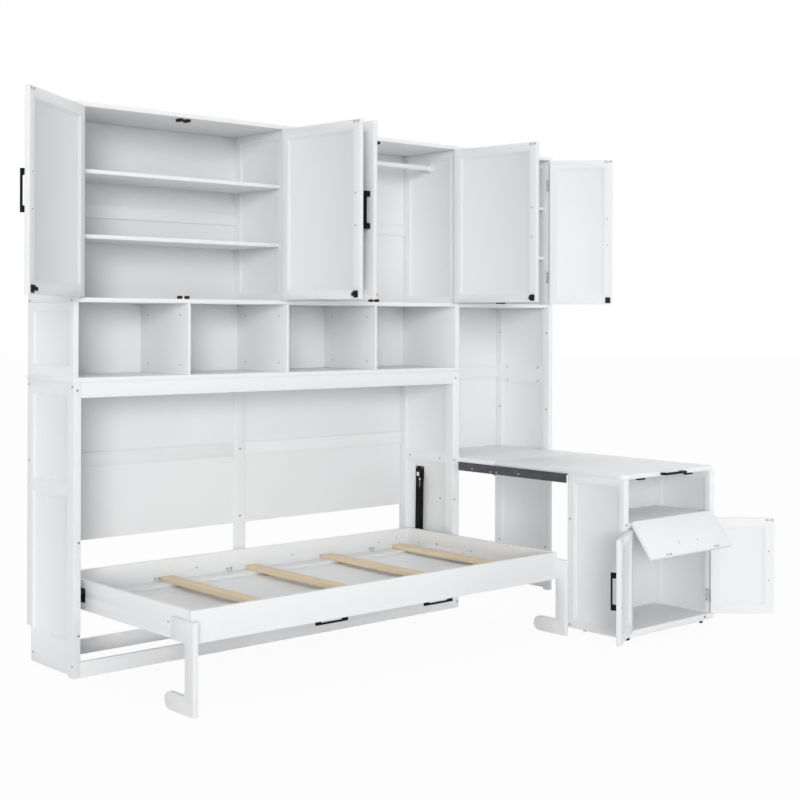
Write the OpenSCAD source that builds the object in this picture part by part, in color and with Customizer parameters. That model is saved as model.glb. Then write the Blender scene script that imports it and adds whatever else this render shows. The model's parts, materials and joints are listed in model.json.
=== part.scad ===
// Wall bed with storage tower and swing-out desk.
// X runs along the wall, Y to the wall and Z up. The origin is the outer front
// corner of the left side's front foot. The bed lies down, the desk stands out
// and every door is open.

/* [Overall] */
// Width of the bed housing over its left side and the shared partition
unit_w = 2110; // [2000:1:2600]
// Width of the tower beside it, over its right side
tower_w = 683; // [560:1:820]
// Depth of the housing
depth = 395; // [370:1:480]
// Height of the bed housing over its top board
housing_h = 1187; // [1120:1:1430]
// Height of the open cubbies above the housing
hutch_h = 300; // [240:1:360]
// Height of the wall cabinets
cabinet_h = 794; // [640:1:960]

/* [Boards] */
// Thickness of the housing's left side
side_t = 32; // [25:1:40]
// Thickness of the partition between bed and tower
partition_t = 45; // [36:1:54]
// Thickness of the housing's top board
top_t = 20; // [16:1:25]
// Overhang of the housing's top board on the left
top_overhang = 3; // [0:1:10]
// Thickness of the cubbies' left side
hutch_left_t = 20; // [16:1:25]
// Thickness of the cubbies' right side
hutch_right_t = 28; // [20:1:34]
// Thickness of a cubby divider
divider_t = 12; // [9:1:15]
// Number of cubbies
cubbies = 4; // [2:1:6]
// Thickness of a cabinet side
cabinet_side_t = 25; // [20:1:30]
// Thickness of the cabinets' top and bottom boards
board_t = 18; // [15:1:22]
// Thickness of a shelf
shelf_t = 16; // [12:1:19]
// Thickness of a back panel
back_t = 10; // [8:1:12]
// Thickness of a rail on a back panel
back_rail_t = 8; // [6:1:10]

/* [Framed panels] */
// Width of a side's stiles
stile_w = 60; // [48:1:72]
// Height of a side's top rail
top_rail_h = 62; // [50:1:74]
// Height of the middle rail of the bed housing's sides
mid_rail_h = 66; // [54:1:80]
// Height of the middle rail above the floor
mid_rail_z = 706; // [600:1:850]
// Depth of a panel behind its frame
panel_recess = 6; // [3:1:8]
// Width of the step between a frame and its panel
step_w = 8; // [4:1:12]
// Depth of that step
step_d = 3; // [1:0.5:4]
// Depth of the notch for a skirting board
skirting_d = 37; // [20:1:45]
// Height of that notch
skirting_h = 151; // [100:1:180]
// Length of a side's foot from the front
foot_l = 40; // [30:1:60]
// Clearance under a side behind its foot
foot_lift = 10; // [6:1:14]
// Height of the tower side's lower panel above the floor
tower_panel_z = 207; // [170:1:240]

/* [Housing] */
// Height of the rail over the bed bay
apron_h = 60; // [50:1:72]
// Height of the floor rail in front
stretcher_h = 62; // [50:1:75]
// Thickness of the apron and the floor rails
stretcher_t = 20; // [16:1:24]
// Distance from the wall side to the rear floor rail
rear_stretcher_in = 45; // [40:1:60]
// Lower edge of the bed bay's back panels
bay_panel_z = 476; // [400:1:560]
// Width of the bed bay's centre post
bay_post_w = 64; // [50:1:76]
// Height of the bed bay's back rail
bay_rail_h = 62; // [50:1:74]
// Lower edge of the bed bay's back rail
bay_rail_z = 788; // [700:1:880]

/* [Wall cabinets] */
// Height of the lower shelf's top above the bottom board's underside
shelf_low = 272; // [220:1:320]
// Height of the upper shelf's top above the bottom board's underside
shelf_high = 533; // [440:1:560]
// Distance from the front to a shelf
shelf_in = 40; // [30:1:60]
// Diameter of the clothes rail
clothes_rail_d = 25; // [20:1:30]
// Distance from the cabinets' tops down to the clothes rail
clothes_rail_drop = 96; // [80:1:115]
// Distance from the front to the clothes rail
clothes_rail_in = 190; // [150:1:230]
// Diameter of the cup that holds the clothes rail
rail_cup_d = 44; // [36:1:56]
// Height of the rail across the cabinets' backs
cabinet_rail_h = 60; // [48:1:72]

/* [Doors] */
// Thickness of a door
door_t = 20; // [16:1:24]
// Width of a door's stiles and rails
door_frame = 52; // [42:1:62]
// Depth of a door's panel behind its frame
door_recess = 6; // [3:1:7]
// Clearance between a door and the boards above and below it
door_gap = 2; // [1.5:0.5:4]
// Clearance between a door and the side that it hangs on
hinge_gap = 0.8; // [0.5:0.1:1.5]
// Opening angle of the first cabinet's left door
a_left_open = 141.5; // [95:0.5:150]
// Opening angle of the first cabinet's right door
a_right_open = 94; // [80:0.5:94]
// Opening angle of the second cabinet's left door
b_left_open = 85; // [60:0.5:85]
// Opening angle of the second cabinet's right door
b_right_open = 97; // [80:0.5:97]
// Opening angle of the tower cabinet's left door
c_left_open = 80; // [60:0.5:80]
// Opening angle of the tower cabinet's right door
c_right_open = 130; // [95:0.5:150]

/* [Pulls] */
// Length of a door pull
pull_l = 160; // [130:1:192]
// Length of the desk's pull
desk_pull_l = 160; // [130:1:192]
// Reach of a pull from its face
pull_reach = 28; // [22:1:29]
// Width of a pull
pull_w = 10; // [8:1:12]
// Thickness of its bar
pull_t = 7; // [5:0.5:9]
// Length of the feet at its ends
pull_foot = 24; // [18:1:30]
// Distance of a pull from the free edge of its door
pull_in = 26; // [20:1:32]

/* [Bed] */
// Gap between the left side and the bed
bed_gap_left = 47; // [40:1:56]
// Gap between the bed and the partition
bed_gap_right = 34; // [32:1:42]
// Thickness of the bed's rails
rail_t = 19; // [16:1:24]
// Height of the bed's rails
rail_h = 104; // [86:1:124]
// Thickness of the panel under the rails
bed_panel_t = 16; // [12:1:19]
// Reach of that panel in front of the front rail
bed_lip = 3; // [1:0.5:5]
// Width of that panel's frame at the front and the ends
bed_frame = 60; // [50:1:72]
// Width of that panel's frame at the back
bed_frame_back = 171; // [140:1:200]
// Width of the rail between its two fields
bed_frame_mid = 57; // [46:1:68]
// Distance of the bed's pivot behind the front
pivot_in = 60; // [50:1:72]
// Height of the bed's pivot
pivot_z = 312; // [280:1:340]
// Gap over the closed bed
bed_top_gap = 14; // [10:1:20]
// Gap under the closed bed
bed_bottom_gap = 28; // [24:1:40]
// Thickness of the ledges that carry the slats
ledge_t = 13; // [10:1:16]
// Width of the ledges
ledge_w = 85; // [70:1:100]
// Number of slats
slats = 4; // [2:1:8]
// Width of a slat
slat_w = 60; // [50:1:90]
// Thickness of a slat
slat_t = 19; // [15:1:23]
// Distance from the left rail to the first slat
slat_first = 463; // [380:1:540]
// Distance from one slat to the next
slat_pitch = 446; // [360:1:480]
// Distance between the centres of the two bed pulls
bed_pull_spread = 576; // [480:1:700]
// Distance of the bed pulls from the front rail's face
bed_pull_in = 53; // [44:1:64]

/* [Bed legs] */
// Thickness of a leg
leg_t = 20; // [16:1:24]
// Width of a leg's shank
leg_w = 57; // [47:1:68]
// Distance of a leg's shank in front of the bed
leg_out = 47; // [39:1:56]
// Length of a leg's foot
foot_reach = 191; // [160:1:225]
// Height of a leg's foot
foot_h = 66; // [55:1:79]
// Length of a leg's top
leg_top_l = 151; // [126:1:180]
// Height of a leg's top
leg_top_h = 82; // [70:1:98]
// Distance of a leg's bolt behind the front rail's face
leg_bolt_in = 56; // [46:1:66]
// Height of a leg's bolt
leg_bolt_z = 300; // [285:1:320]
// Diameter of a leg's bolt
leg_bolt_d = 12; // [10:1:14]

/* [Gas lifts] */
// Distance of a lift's upper pivot behind the front
lift_top_in = 220; // [190:1:250]
// Height of a lift's upper pivot
lift_top_z = 650; // [600:1:700]
// Distance of a lift's lower stud behind the front
lift_stud_in = 225; // [205:1:250]
// Height of a lift's lower stud
lift_stud_z = 325; // [300:1:350]
// Thickness of a lift's cover along the bed
lift_t = 24; // [20:1:26]
// Width of a lift's cover
lift_w = 42; // [36:1:50]
// Length of a lift's cover below its pivot
lift_l = 295; // [270:1:310]
// Distance from a lift's pivot down to its cover
lift_neck = 20; // [17:1:26]
// Diameter of a lift's rod
lift_rod_d = 12; // [10:1:14]

/* [Desk] */
// Thickness of the desk's boards
desk_t = 20; // [16:1:24]
// Height of the desk over its top
desk_h = 740; // [690:1:790]
// Reach of the fixed board in front of the tower
desk_fixed_out = 243; // [200:1:290]
// Length of the swinging board
desk_swing_l = 795; // [700:1:950]
// Radius of the swinging board's front corners
desk_corner_r = 38; // [30:1:46]
// Overlap of the desk over the tower's right side
desk_lap = 12; // [8:1:18]
// Number of planks across the desk
planks = 7; // [4:1:10]
// Height of the steel angle under the desk's left edge
angle_h = 42; // [35:1:50]
// Width of that angle's upper flange
angle_w = 40; // [34:1:48]
// Thickness of that angle
angle_t = 6; // [5:1:7]
// Diameter of the desk's pin
desk_pin_d = 10; // [8:1:12]
// Diameter of the knuckles round it
knuckle_d = 22; // [18:1:24]

/* [Desk cabinet] */
// Depth of the cabinet under the desk
pedestal_d = 330; // [275:1:396]
// Thickness of its sides
pedestal_side_t = 32; // [27:1:38]
// Clearance under it
pedestal_lift = 19; // [16:1:22]
// Thickness of its bottom
pedestal_bottom_t = 29; // [24:1:35]
// Height of its shelf's top above the floor
pedestal_shelf_z = 524; // [440:1:560]
// Width of the rear stile and bottom rail of its sides
pedestal_stile = 50; // [42:1:60]
// Width of the front stile of its sides
pedestal_front_stile = 38; // [32:1:46]
// Height of the top rail of its sides
pedestal_top_rail = 44; // [37:1:53]
// Opening angle of its left door
low_left_open = 151; // [140:0.5:152]
// Opening angle of its right door
low_right_open = 138; // [137:0.5:150]
// Opening angle of its flap
flap_open = 143; // [120:0.5:143]
// Clearance beside the flap
flap_gap = 7; // [5:0.5:9]
// Diameter of a castor's wheel
wheel_d = 36; // [32:1:40]
// Width of a castor's wheel
wheel_w = 16; // [13:1:19]
// Distance of a castor from the cabinet's sides
castor_side_in = 27; // [24:1:60]
// Distance of a castor from the cabinet's front
castor_front_in = 30; // [28:1:60]
// Diameter of a castor's axle
axle_d = 6; // [5:1:7]

/* [Hidden] */
$fn = 48;
// Running clearance round a pin, and the overlap that a cut runs past a face
fit = 0.05;
cut = 1;
// Clearance between pieces that lie beside each other
slip = 0.5;
// Half the joint line between boards that are screwed together
seam = 0.1;

// Heights
housing_z = housing_h - top_t;
hutch_z = housing_h + hutch_h;
total_h = hutch_z + cabinet_h;
apron_z = housing_z - apron_h;
door_z0 = hutch_z + board_t + door_gap;
door_z1 = total_h - board_t - door_gap;
pull_z = (door_z0 + door_z1) / 2;

// Places along the wall
bay_x0 = side_t;
bay_x1 = unit_w - partition_t;
mid_x = unit_w / 2;
tower_x0 = unit_w;
tower_x1 = unit_w + tower_w - cabinet_side_t;
total_w = unit_w + tower_w;
a_x0 = cabinet_side_t;
a_x1 = mid_x - cabinet_side_t;
b_x0 = mid_x + cabinet_side_t;
b_x1 = unit_w - cabinet_side_t;
inner_back = depth - back_t;

// Bed, lying down
bed_x0 = bay_x0 + bed_gap_left;
bed_x1 = bay_x1 - bed_gap_right;
bed_y0 = pivot_in + pivot_z - (apron_z - bed_top_gap);
bed_y1 = pivot_in + pivot_z - (stretcher_h + bed_bottom_gap);
bed_z0 = pivot_z - pivot_in;
rail_z0 = bed_z0 + bed_panel_t;
rail_z1 = rail_z0 + rail_h;
ledge_z1 = rail_z0 + ledge_t;
bed_pull_z = bed_z0;
bed_pin_d = 16;
bed_plate_t = 4;
bed_plate = [58, 56];
bed_plate_front = 11;
flange_d = 60;
flange_t = 5;
bolt_wall = 4;
leg_y0 = bed_y0 - leg_out;
leg_bolt_y = bed_y0 + leg_bolt_in;
leg_h = leg_bolt_z + 40;
leg_gap = 1;

// Gas lifts
lift_off = 17;
lift_angle = atan((lift_stud_in - lift_top_in) / (lift_top_z - lift_stud_z));
lift_len = norm([lift_stud_in - lift_top_in, lift_top_z - lift_stud_z]);
lift_pin_d = 10;
lift_bore = lift_rod_d + 1;
lift_eye_d = 26;
lift_eye_t = 12;
lift_plate = [59, 62];
lift_plate_front = 7;
lift_plate_low = 30;
lift_plate_t = 4;
lift_rod_top = 60;
stud_d = 8;
eye_d = 24;
eye_t = 12;

// Desk
desk_x0 = tower_x0 + 3;
desk_x1 = tower_x1 + desk_lap;
desk_z0 = desk_h - desk_t;
desk_gap = 2;
pin_x = tower_x0 + 2;
pin_y = -desk_fixed_out;
swing_y1 = pin_y - desk_gap;
swing_y0 = swing_y1 - desk_swing_l;
angle_x0 = pin_x - angle_t;
angle_z0 = desk_z0 - angle_h;
knuckle_h = angle_h / 3;
pedestal_x0 = desk_x0 + 5;
pedestal_x1 = desk_x1;
pedestal_y0 = swing_y0 + 5;
pedestal_y1 = pedestal_y0 + pedestal_d;
ped_in0 = pedestal_x0 + pedestal_side_t;
ped_in1 = pedestal_x1 - pedestal_side_t;
ped_floor = pedestal_lift + pedestal_bottom_t;
ped_shelf_z0 = pedestal_shelf_z - board_t;
low_z0 = ped_floor + door_gap;
low_z1 = pedestal_shelf_z - door_t - 3 * door_gap;
low_pull_z = (low_z0 + low_z1) / 2;
flap_y = pedestal_y0 - 2;
flap_x0 = ped_in0 + flap_gap;
flap_x1 = ped_in1 - flap_gap;
flap_h = desk_z0 - pedestal_shelf_z - 4 * door_gap;

// Colours
white = "#e9e7e2";
wood = "#d9b98a";
black = "#1d1d1f";
steel = "#b9bcc0";
slate = "#3c444c";
brass = "#b58b42";

// A box between two opposite corners
module span(a, b) {
  translate(a) cube(b - a);
}

// A board across X with its panels set back on both faces
module framed_side(x0, x1, y1, z1, windows) {
  difference() {
    span([x0, 0, 0], [x1, y1, z1]);
    for (w = windows, s = [[panel_recess, 0], [step_d, step_w]]) {
      low = [stile_w - s[1], w[0] - s[1]];
      high = [y1 - stile_w + s[1], w[1] + s[1]];
      span([x0 - cut, low[0], low[1]], [x0 + s[0], high[0], high[1]]);
      span([x1 - s[0], low[0], low[1]], [x1 + cut, high[0], high[1]]);
    }
  }
}

// The notch for the skirting and the lifted edge behind the front foot
module floor_cuts(x0, x1) {
  span([x0 - cut, depth - skirting_d, -cut], [x1 + cut, depth + cut, skirting_h]);
  span([x0 - cut, foot_l, -cut], [x1 + cut, depth + cut, foot_lift]);
}

module side_left() {
  color(white) difference() {
    framed_side(0, side_t, depth, housing_z,
      [[skirting_h, mid_rail_z], [mid_rail_z + mid_rail_h, housing_z - top_rail_h]]);
    floor_cuts(0, side_t);
  }
}

module partition() {
  color(white) difference() {
    framed_side(bay_x1, unit_w, depth, housing_z,
      [[skirting_h, mid_rail_z], [mid_rail_z + mid_rail_h, housing_z - top_rail_h]]);
    floor_cuts(bay_x1, unit_w);
  }
}

module housing_top() {
  color(white) span([-top_overhang, 0, housing_z], [unit_w, depth, housing_h]);
}

module apron() {
  color(white) span([bay_x0, 0, apron_z], [bay_x1, stretcher_t, housing_z]);
}

// The floor rails in front of and behind the bed
module stretchers() {
  color(white) {
    span([bay_x0, 0, 0], [bay_x1, stretcher_t, stretcher_h]);
    translate([0, depth - rear_stretcher_in, 0])
      span([bay_x0, 0, 0], [bay_x1, stretcher_t, stretcher_h]);
  }
}

// The rails and the centre post in front of the bay's back panels
module bay_back_frame() {
  y0 = inner_back - back_rail_t;
  post_x0 = mid_x + 3 - bay_post_w / 2;
  post_x1 = post_x0 + bay_post_w;
  color(white) {
    for (x = [[bay_x0, post_x0 - seam], [post_x1 + seam, bay_x1]])
      span([x[0], y0, bay_rail_z], [x[1], inner_back, bay_rail_z + bay_rail_h]);
    union() {
      span([post_x0, y0, stretcher_h], [post_x1, inner_back, housing_z]);
      // The post's heel reaches down in front of the skirting, onto the floor rail
      span([post_x0, depth - rear_stretcher_in, stretcher_h],
        [post_x1, inner_back, stretcher_h + stretcher_t]);
    }
  }
}

module bay_back_panels() {
  color(white) span([bay_x0, inner_back, bay_panel_z], [bay_x1, depth, housing_z]);
}

module hutch_uprights() {
  x0 = hutch_left_t;
  x1 = unit_w - hutch_right_t;
  pitch = (x1 - x0) / cubbies;
  color(white) {
    difference() {
      span([0, 0, housing_h], [x0, depth, hutch_z]);
      span([-cut, stile_w * 0.6, housing_h + stile_w * 0.8],
        [panel_recess, depth - stile_w * 0.9, hutch_z - stile_w * 0.6]);
    }
    span([x1, 0, housing_h], [unit_w, depth, hutch_z]);
    for (i = [1:cubbies - 1])
      translate([x0 + i * pitch - divider_t / 2, 0, housing_h])
        cube([divider_t, inner_back, hutch_h]);
  }
}

module hutch_back() {
  color(white) span([hutch_left_t, inner_back, housing_h], [unit_w - hutch_right_t, depth, hutch_z]);
}

// The four sides of the two wall cabinets over the bed
module cabinet_sides() {
  color(white) for (x = [[0, a_x0], [a_x1, mid_x - seam], [mid_x + seam, b_x0], [b_x1, unit_w]])
    translate([0, 0, hutch_z])
      framed_side(x[0], x[1], depth, cabinet_h, [[top_rail_h, cabinet_h - top_rail_h]]);
}

// Top and bottom boards of the three cabinets
module cabinet_boards() {
  color(white) for (x = [[a_x0, a_x1], [b_x0, b_x1], [tower_x0, tower_x1]])
    for (z = [hutch_z, total_h - board_t])
      span([x[0], 0, z], [x[1], depth, z + board_t]);
}

module cabinet_backs() {
  z0 = hutch_z + board_t;
  z1 = total_h - board_t;
  rail_z = (z0 + z1 - cabinet_rail_h) / 2;
  color(white) {
    for (x = [[a_x0, a_x1], [b_x0, b_x1]]) union() {
      span([x[0], inner_back, z0], [x[1], depth, z1]);
      span([x[0], inner_back - back_rail_t, rail_z], [x[1], inner_back, rail_z + cabinet_rail_h]);
    }
    span([tower_x0, inner_back, z0], [tower_x1, depth, z1]);
  }
}

module cabinet_shelves() {
  color(white) for (x = [[a_x0, a_x1], [tower_x0, tower_x1]])
    for (z = [shelf_low, shelf_high])
      span([x[0], shelf_in, hutch_z + z - shelf_t], [x[1], inner_back - back_rail_t, hutch_z + z]);
}

module clothes_rail() {
  z = total_h - clothes_rail_drop;
  cup_t = panel_recess + 8;
  color(white) translate([0, clothes_rail_in, z]) rotate([0, 90, 0]) union() {
    translate([0, 0, b_x0 - panel_recess]) cylinder(d = clothes_rail_d, h = b_x1 - b_x0 + 2 * panel_recess);
    translate([0, 0, b_x0 - panel_recess]) cylinder(d = rail_cup_d, h = cup_t);
    translate([0, 0, b_x1 + panel_recess - cup_t]) cylinder(d = rail_cup_d, h = cup_t);
  }
}

// The tower's right side, in two lengths that meet at the housing's top
module tower_side() {
  color(white) difference() {
    framed_side(tower_x1, total_w, depth, total_h,
      [[tower_panel_z, apron_z - stile_w * 0.4], [housing_h, total_h - top_rail_h]]);
    floor_cuts(tower_x1, total_w);
  }
}

module tower_back() {
  rail_z = apron_z;
  color(white) union() {
    span([tower_x0, inner_back, desk_z0], [tower_x1, depth, hutch_z]);
    span([tower_x0, inner_back - back_rail_t, rail_z], [tower_x1, inner_back, rail_z + mid_rail_h]);
  }
}

// Grooves between the desk's planks, over a length of its top
module plank_grooves(y0, y1) {
  groove = [2, 1];
  pitch = (desk_x1 - desk_x0) / planks;
  for (i = [1:planks - 1])
    translate([desk_x0 + i * pitch - groove[0] / 2, y0, desk_h - groove[1]])
      cube([groove[0], y1 - y0, groove[1] + cut]);
}

// The desk's fixed board, with a cable slot at the wall
module desk_fixed() {
  slot_w = 60;
  slot_d = 24;
  slot_x = tower_x1 - 168;
  side_gap = slip;
  color(white) difference() {
    union() {
      span([tower_x0, -cut, desk_z0], [tower_x1, inner_back, desk_h]);
      span([tower_x0 + side_gap, pin_y, desk_z0], [desk_x1, -side_gap, desk_h]);
    }
    span([slot_x, inner_back - slot_d, desk_z0 - cut], [slot_x + slot_w, inner_back + cut, desk_h + cut]);
    plank_grooves(pin_y - cut, inner_back + cut);
  }
}

// A length of steel angle along Y, upright flange on the left
module angle(y0, y1) {
  span([angle_x0, y0, angle_z0], [pin_x, y1, desk_z0]);
  span([angle_x0, y0, desk_z0 - angle_t], [angle_x0 + angle_w, y1, desk_z0]);
}

// A knuckle round the desk's pin, with the arm that joins it to its angle
module knuckle(z, h, arm_y, bore) {
  difference() {
    union() {
      translate([pin_x, pin_y, z]) cylinder(d = knuckle_d, h = h);
      span([angle_x0, min(pin_y, arm_y), z], [pin_x, max(pin_y, arm_y), z + h]);
    }
    translate([pin_x, pin_y, z - cut]) cylinder(d = bore, h = h + 2 * cut);
  }
}

// The fixed angle, its two outer knuckles and the brass pin
module desk_angle_fixed() {
  near = pin_y + knuckle_d / 2 + 2;
  color(slate) union() {
    angle(near, 0);
    knuckle(angle_z0, knuckle_h, near + cut, desk_pin_d - 0.4);
    knuckle(desk_z0 - knuckle_h, knuckle_h, near + cut, desk_pin_d - 0.4);
  }
  color(brass) translate([pin_x, pin_y, angle_z0 - 6]) cylinder(d = desk_pin_d, h = angle_h + 6);
}

module desk_angle() {
  near = pin_y - knuckle_d / 2 - 2;
  color(slate) union() {
    angle(pedestal_y1, near);
    knuckle(angle_z0 + knuckle_h + slip, knuckle_h - 2 * slip, near - cut, desk_pin_d + 2 * fit);
  }
}

// Pins for the bed and the gas lifts, with their flanges on the housing's inner faces
module housing_pivot(face, dir) {
  gap = dir > 0 ? bed_gap_left : bed_gap_right;
  eye_x = gap - lift_off - lift_eye_t / 2;
  translate([face, pivot_in, pivot_z]) rotate([0, dir * 90, 0]) {
    cylinder(d = bed_pin_d, h = gap + 4);
    cylinder(d = flange_d, h = flange_t);
  }
  translate([face - dir * panel_recess, 0, 0]) union() {
    translate([dir > 0 ? 0 : -lift_plate_t, lift_top_in - lift_plate_front, lift_top_z - lift_plate_low])
      cube([lift_plate_t, lift_plate[0], lift_plate[1]]);
    translate([0, lift_top_in, lift_top_z]) rotate([0, dir * 90, 0]) {
      cylinder(d = lift_pin_d + 8, h = eye_x - slip + panel_recess);
      cylinder(d = lift_pin_d, h = eye_x + lift_eye_t + 3 + panel_recess);
    }
  }
}

module pivot_brackets() {
  color(slate) {
    housing_pivot(bay_x0, 1);
    housing_pivot(bay_x1, -1);
  }
}

// Magnets under the top boards and latch hooks on the bottom boards, two to a cabinet
module door_catches() {
  magnet = [16, 36, 12];
  hook = [10, 26, 14];
  back = door_t + 4;
  color(black) for (x = [(a_x0 + a_x1) / 2, (b_x0 + b_x1) / 2, (tower_x0 + tower_x1) / 2])
    for (s = [-1, 1]) {
      translate([x + s * 18 - magnet[0] / 2, back, total_h - board_t - magnet[2]]) cube(magnet);
      translate([x + s * 18 - hook[0] / 2, back, hutch_z + board_t]) cube(hook);
    }
}

// A framed leaf from its hinge along X, outer face on Y = 0
module leaf(w, h) {
  difference() {
    cube([w, door_t, h]);
    for (s = [[door_recess, door_frame], [step_d, door_frame - step_w]], y = [-cut, door_t - s[0]])
      translate([s[1], y, s[1]]) cube([w - 2 * s[1], s[0] + cut, h - 2 * s[1]]);
  }
}

// A door on the left (dir 1) or right (dir -1) of its opening, swung open
module hung(x, y, z, dir, open) {
  translate([x, y, z]) rotate([0, 0, -dir * open]) mirror([dir > 0 ? 0 : 1, 0, 0]) children();
}

// A bar pull along Z on a face at Y = 0, reaching to -Y, with a square foot at each end
module pull(l) {
  chamfer = 4;
  inner = l / 2 - pull_foot;
  bar = -pull_reach + pull_t;
  rotate([90, 0, 90]) translate([0, 0, -pull_w / 2]) linear_extrude(pull_w) difference() {
    translate([-pull_reach, -l / 2]) square([pull_reach, l]);
    polygon([[cut, -inner], [bar + chamfer, -inner], [bar, -inner + chamfer],
      [bar, inner - chamfer], [bar + chamfer, inner], [cut, inner]]);
  }
}

a_leaf_w = (a_x1 - a_x0) / 2 - hinge_gap - 1.5;
c_leaf_w = (tower_x1 - tower_x0) / 2 - hinge_gap - 1.5;
low_leaf_w = (ped_in1 - ped_in0) / 2 - hinge_gap - 1.5;

module cabinet_door(x, dir, open, w) {
  color(white) hung(x, 0, door_z0, dir, open)
    translate([hinge_gap, 0, 0]) leaf(w, door_z1 - door_z0);
}

module cabinet_pull(x, dir, open, w) {
  color(black) hung(x, 0, pull_z, dir, open)
    translate([hinge_gap + w - pull_in, 0, 0]) pull(pull_l);
}

module door_a_left() cabinet_door(a_x0, 1, a_left_open, a_leaf_w);
module door_a_right() cabinet_door(a_x1, -1, a_right_open, a_leaf_w);
module door_b_left() cabinet_door(b_x0, 1, b_left_open, a_leaf_w);
module door_b_right() cabinet_door(b_x1, -1, b_right_open, a_leaf_w);
module door_c_left() cabinet_door(tower_x0, 1, c_left_open, c_leaf_w);
module door_c_right() cabinet_door(tower_x1, -1, c_right_open, c_leaf_w);
module pull_a_left() cabinet_pull(a_x0, 1, a_left_open, a_leaf_w);
module pull_a_right() cabinet_pull(a_x1, -1, a_right_open, a_leaf_w);
module pull_b_left() cabinet_pull(b_x0, 1, b_left_open, a_leaf_w);
module pull_b_right() cabinet_pull(b_x1, -1, b_right_open, a_leaf_w);
module pull_c_left() cabinet_pull(tower_x0, 1, c_left_open, c_leaf_w);
module pull_c_right() cabinet_pull(tower_x1, -1, c_right_open, c_leaf_w);

// The four rails of the bed; the end rails are drilled for the pivots and the leg bolts
module bed_rails() {
  y0 = bed_y0 + rail_t + seam;
  y1 = bed_y1 - rail_t - seam;
  color(white) {
    span([bed_x0, bed_y0, rail_z0], [bed_x1, bed_y0 + rail_t, rail_z1]);
    span([bed_x0, bed_y1 - rail_t, rail_z0], [bed_x1, bed_y1, rail_z1]);
    for (x = [bed_x0, bed_x1 - rail_t]) difference() {
      span([x, y0, rail_z0], [x + rail_t, y1, rail_z1]);
      translate([x - cut, pivot_in, pivot_z]) rotate([0, 90, 0])
        cylinder(d = bed_pin_d + 2 * fit, h = rail_t + 2 * cut);
      translate([x - cut, leg_bolt_y, leg_bolt_z]) rotate([0, 90, 0])
        cylinder(d = leg_bolt_d, h = rail_t + 2 * cut);
    }
  }
}

// The panel under the rails, with two fields set back on both faces
module bed_panel() {
  field_y1 = bed_y1 - bed_frame_back;
  field_y0 = bed_y0 + bed_frame;
  field_d = (field_y1 - field_y0 - bed_frame_mid) / 2;
  color(white) difference() {
    span([bed_x0, bed_y0 - bed_lip, bed_z0], [bed_x1, bed_y1, rail_z0]);
    for (y = [field_y0, field_y1 - field_d], z = [bed_z0 - cut, rail_z0 - step_d])
      translate([bed_x0 + bed_frame, y, z])
        cube([bed_x1 - bed_x0 - 2 * bed_frame, field_d, step_d + cut]);
  }
}

// Ledges round the inside of the rails
module bed_ledges() {
  x0 = bed_x0 + rail_t;
  x1 = bed_x1 - rail_t;
  y0 = bed_y0 + rail_t;
  y1 = bed_y1 - rail_t;
  color(white) {
    for (y = [y0, y1 - ledge_w]) span([x0, y, rail_z0], [x1, y + ledge_w, ledge_z1]);
    for (x = [x0, x1 - ledge_w])
      span([x, y0 + ledge_w + seam, rail_z0], [x + ledge_w, y1 - ledge_w - seam, ledge_z1]);
  }
}

module bed_slats() {
  color(wood) for (i = [0:slats - 1])
    translate([bed_x0 + rail_t + slat_first + i * slat_pitch, 0, 0])
      span([0, bed_y0 + rail_t, ledge_z1], [slat_w, bed_y1 - rail_t, ledge_z1 + slat_t]);
}

// What is screwed to the bed's end rails: pivot plates, lift studs and leg bolts
module end_hardware(face, dir) {
  translate([face, pivot_in, pivot_z]) rotate([0, dir * 90, 0]) difference() {
    translate([-bed_plate[1] / 2, -bed_plate_front, 0]) cube([bed_plate[1], bed_plate[0], bed_plate_t]);
    translate([0, 0, -cut]) cylinder(d = bed_pin_d + 2 * fit, h = bed_plate_t + 2 * cut);
  }
  translate([face, lift_stud_in, lift_stud_z]) rotate([0, dir * 90, 0]) {
    cylinder(d = stud_d, h = lift_off - eye_t / 2 - slip);
    cylinder(d = 40, h = 3);
  }
  translate([face - dir * rail_t, leg_bolt_y, leg_bolt_z]) rotate([0, dir * 90, 0])
    cylinder(d = leg_bolt_d, h = rail_t + leg_gap + leg_t - bolt_wall - slip);
}

module bed_hardware() {
  color(slate) {
    end_hardware(bed_x0, -1);
    end_hardware(bed_x1, 1);
  }
}

// Two pulls on the underside, which faces the room when the bed is up
module bed_pulls() {
  color(black) for (s = [-1, 1])
    translate([(bed_x0 + bed_x1) / 2 + s * bed_pull_spread / 2, bed_y0 + bed_pull_in, bed_pull_z])
      rotate([90, 0, 90]) pull(pull_l);
}

// A leg: shank, top with a blind bore for the bolt, and a foot with a round tip
module leg(x, dir) {
  bore_x = dir > 0 ? x - cut : x + bolt_wall;
  color(white) difference() {
    translate([x, 0, 0]) rotate([90, 0, 90]) linear_extrude(leg_t) union() {
      translate([leg_y0, 0]) square([leg_w, leg_h]);
      translate([leg_y0, leg_h - leg_top_h]) square([leg_top_l, leg_top_h]);
      translate([leg_y0, 0]) square([foot_reach - foot_h / 2, foot_h]);
      translate([leg_y0 + foot_reach - foot_h / 2, foot_h / 2]) circle(d = foot_h);
      // Rounded inner corners where the top and the foot meet the shank
      translate([leg_y0 + leg_w, leg_h - leg_top_h - 16]) corner_fill(16);
      translate([leg_y0 + leg_w, foot_h + 16]) mirror([0, 1]) corner_fill(16);
    }
    translate([bore_x, leg_bolt_y, leg_bolt_z]) rotate([0, 90, 0])
      cylinder(d = leg_bolt_d + 2 * fit, h = leg_t - bolt_wall + cut);
  }
}

// The corner outside a quarter circle of radius r
module corner_fill(r) {
  difference() {
    translate([-cut, 0]) square([r + cut, r + cut]);
    translate([r, 0]) circle(r);
    translate([r, -r]) square([cut, 3 * r]);
  }
}

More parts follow.
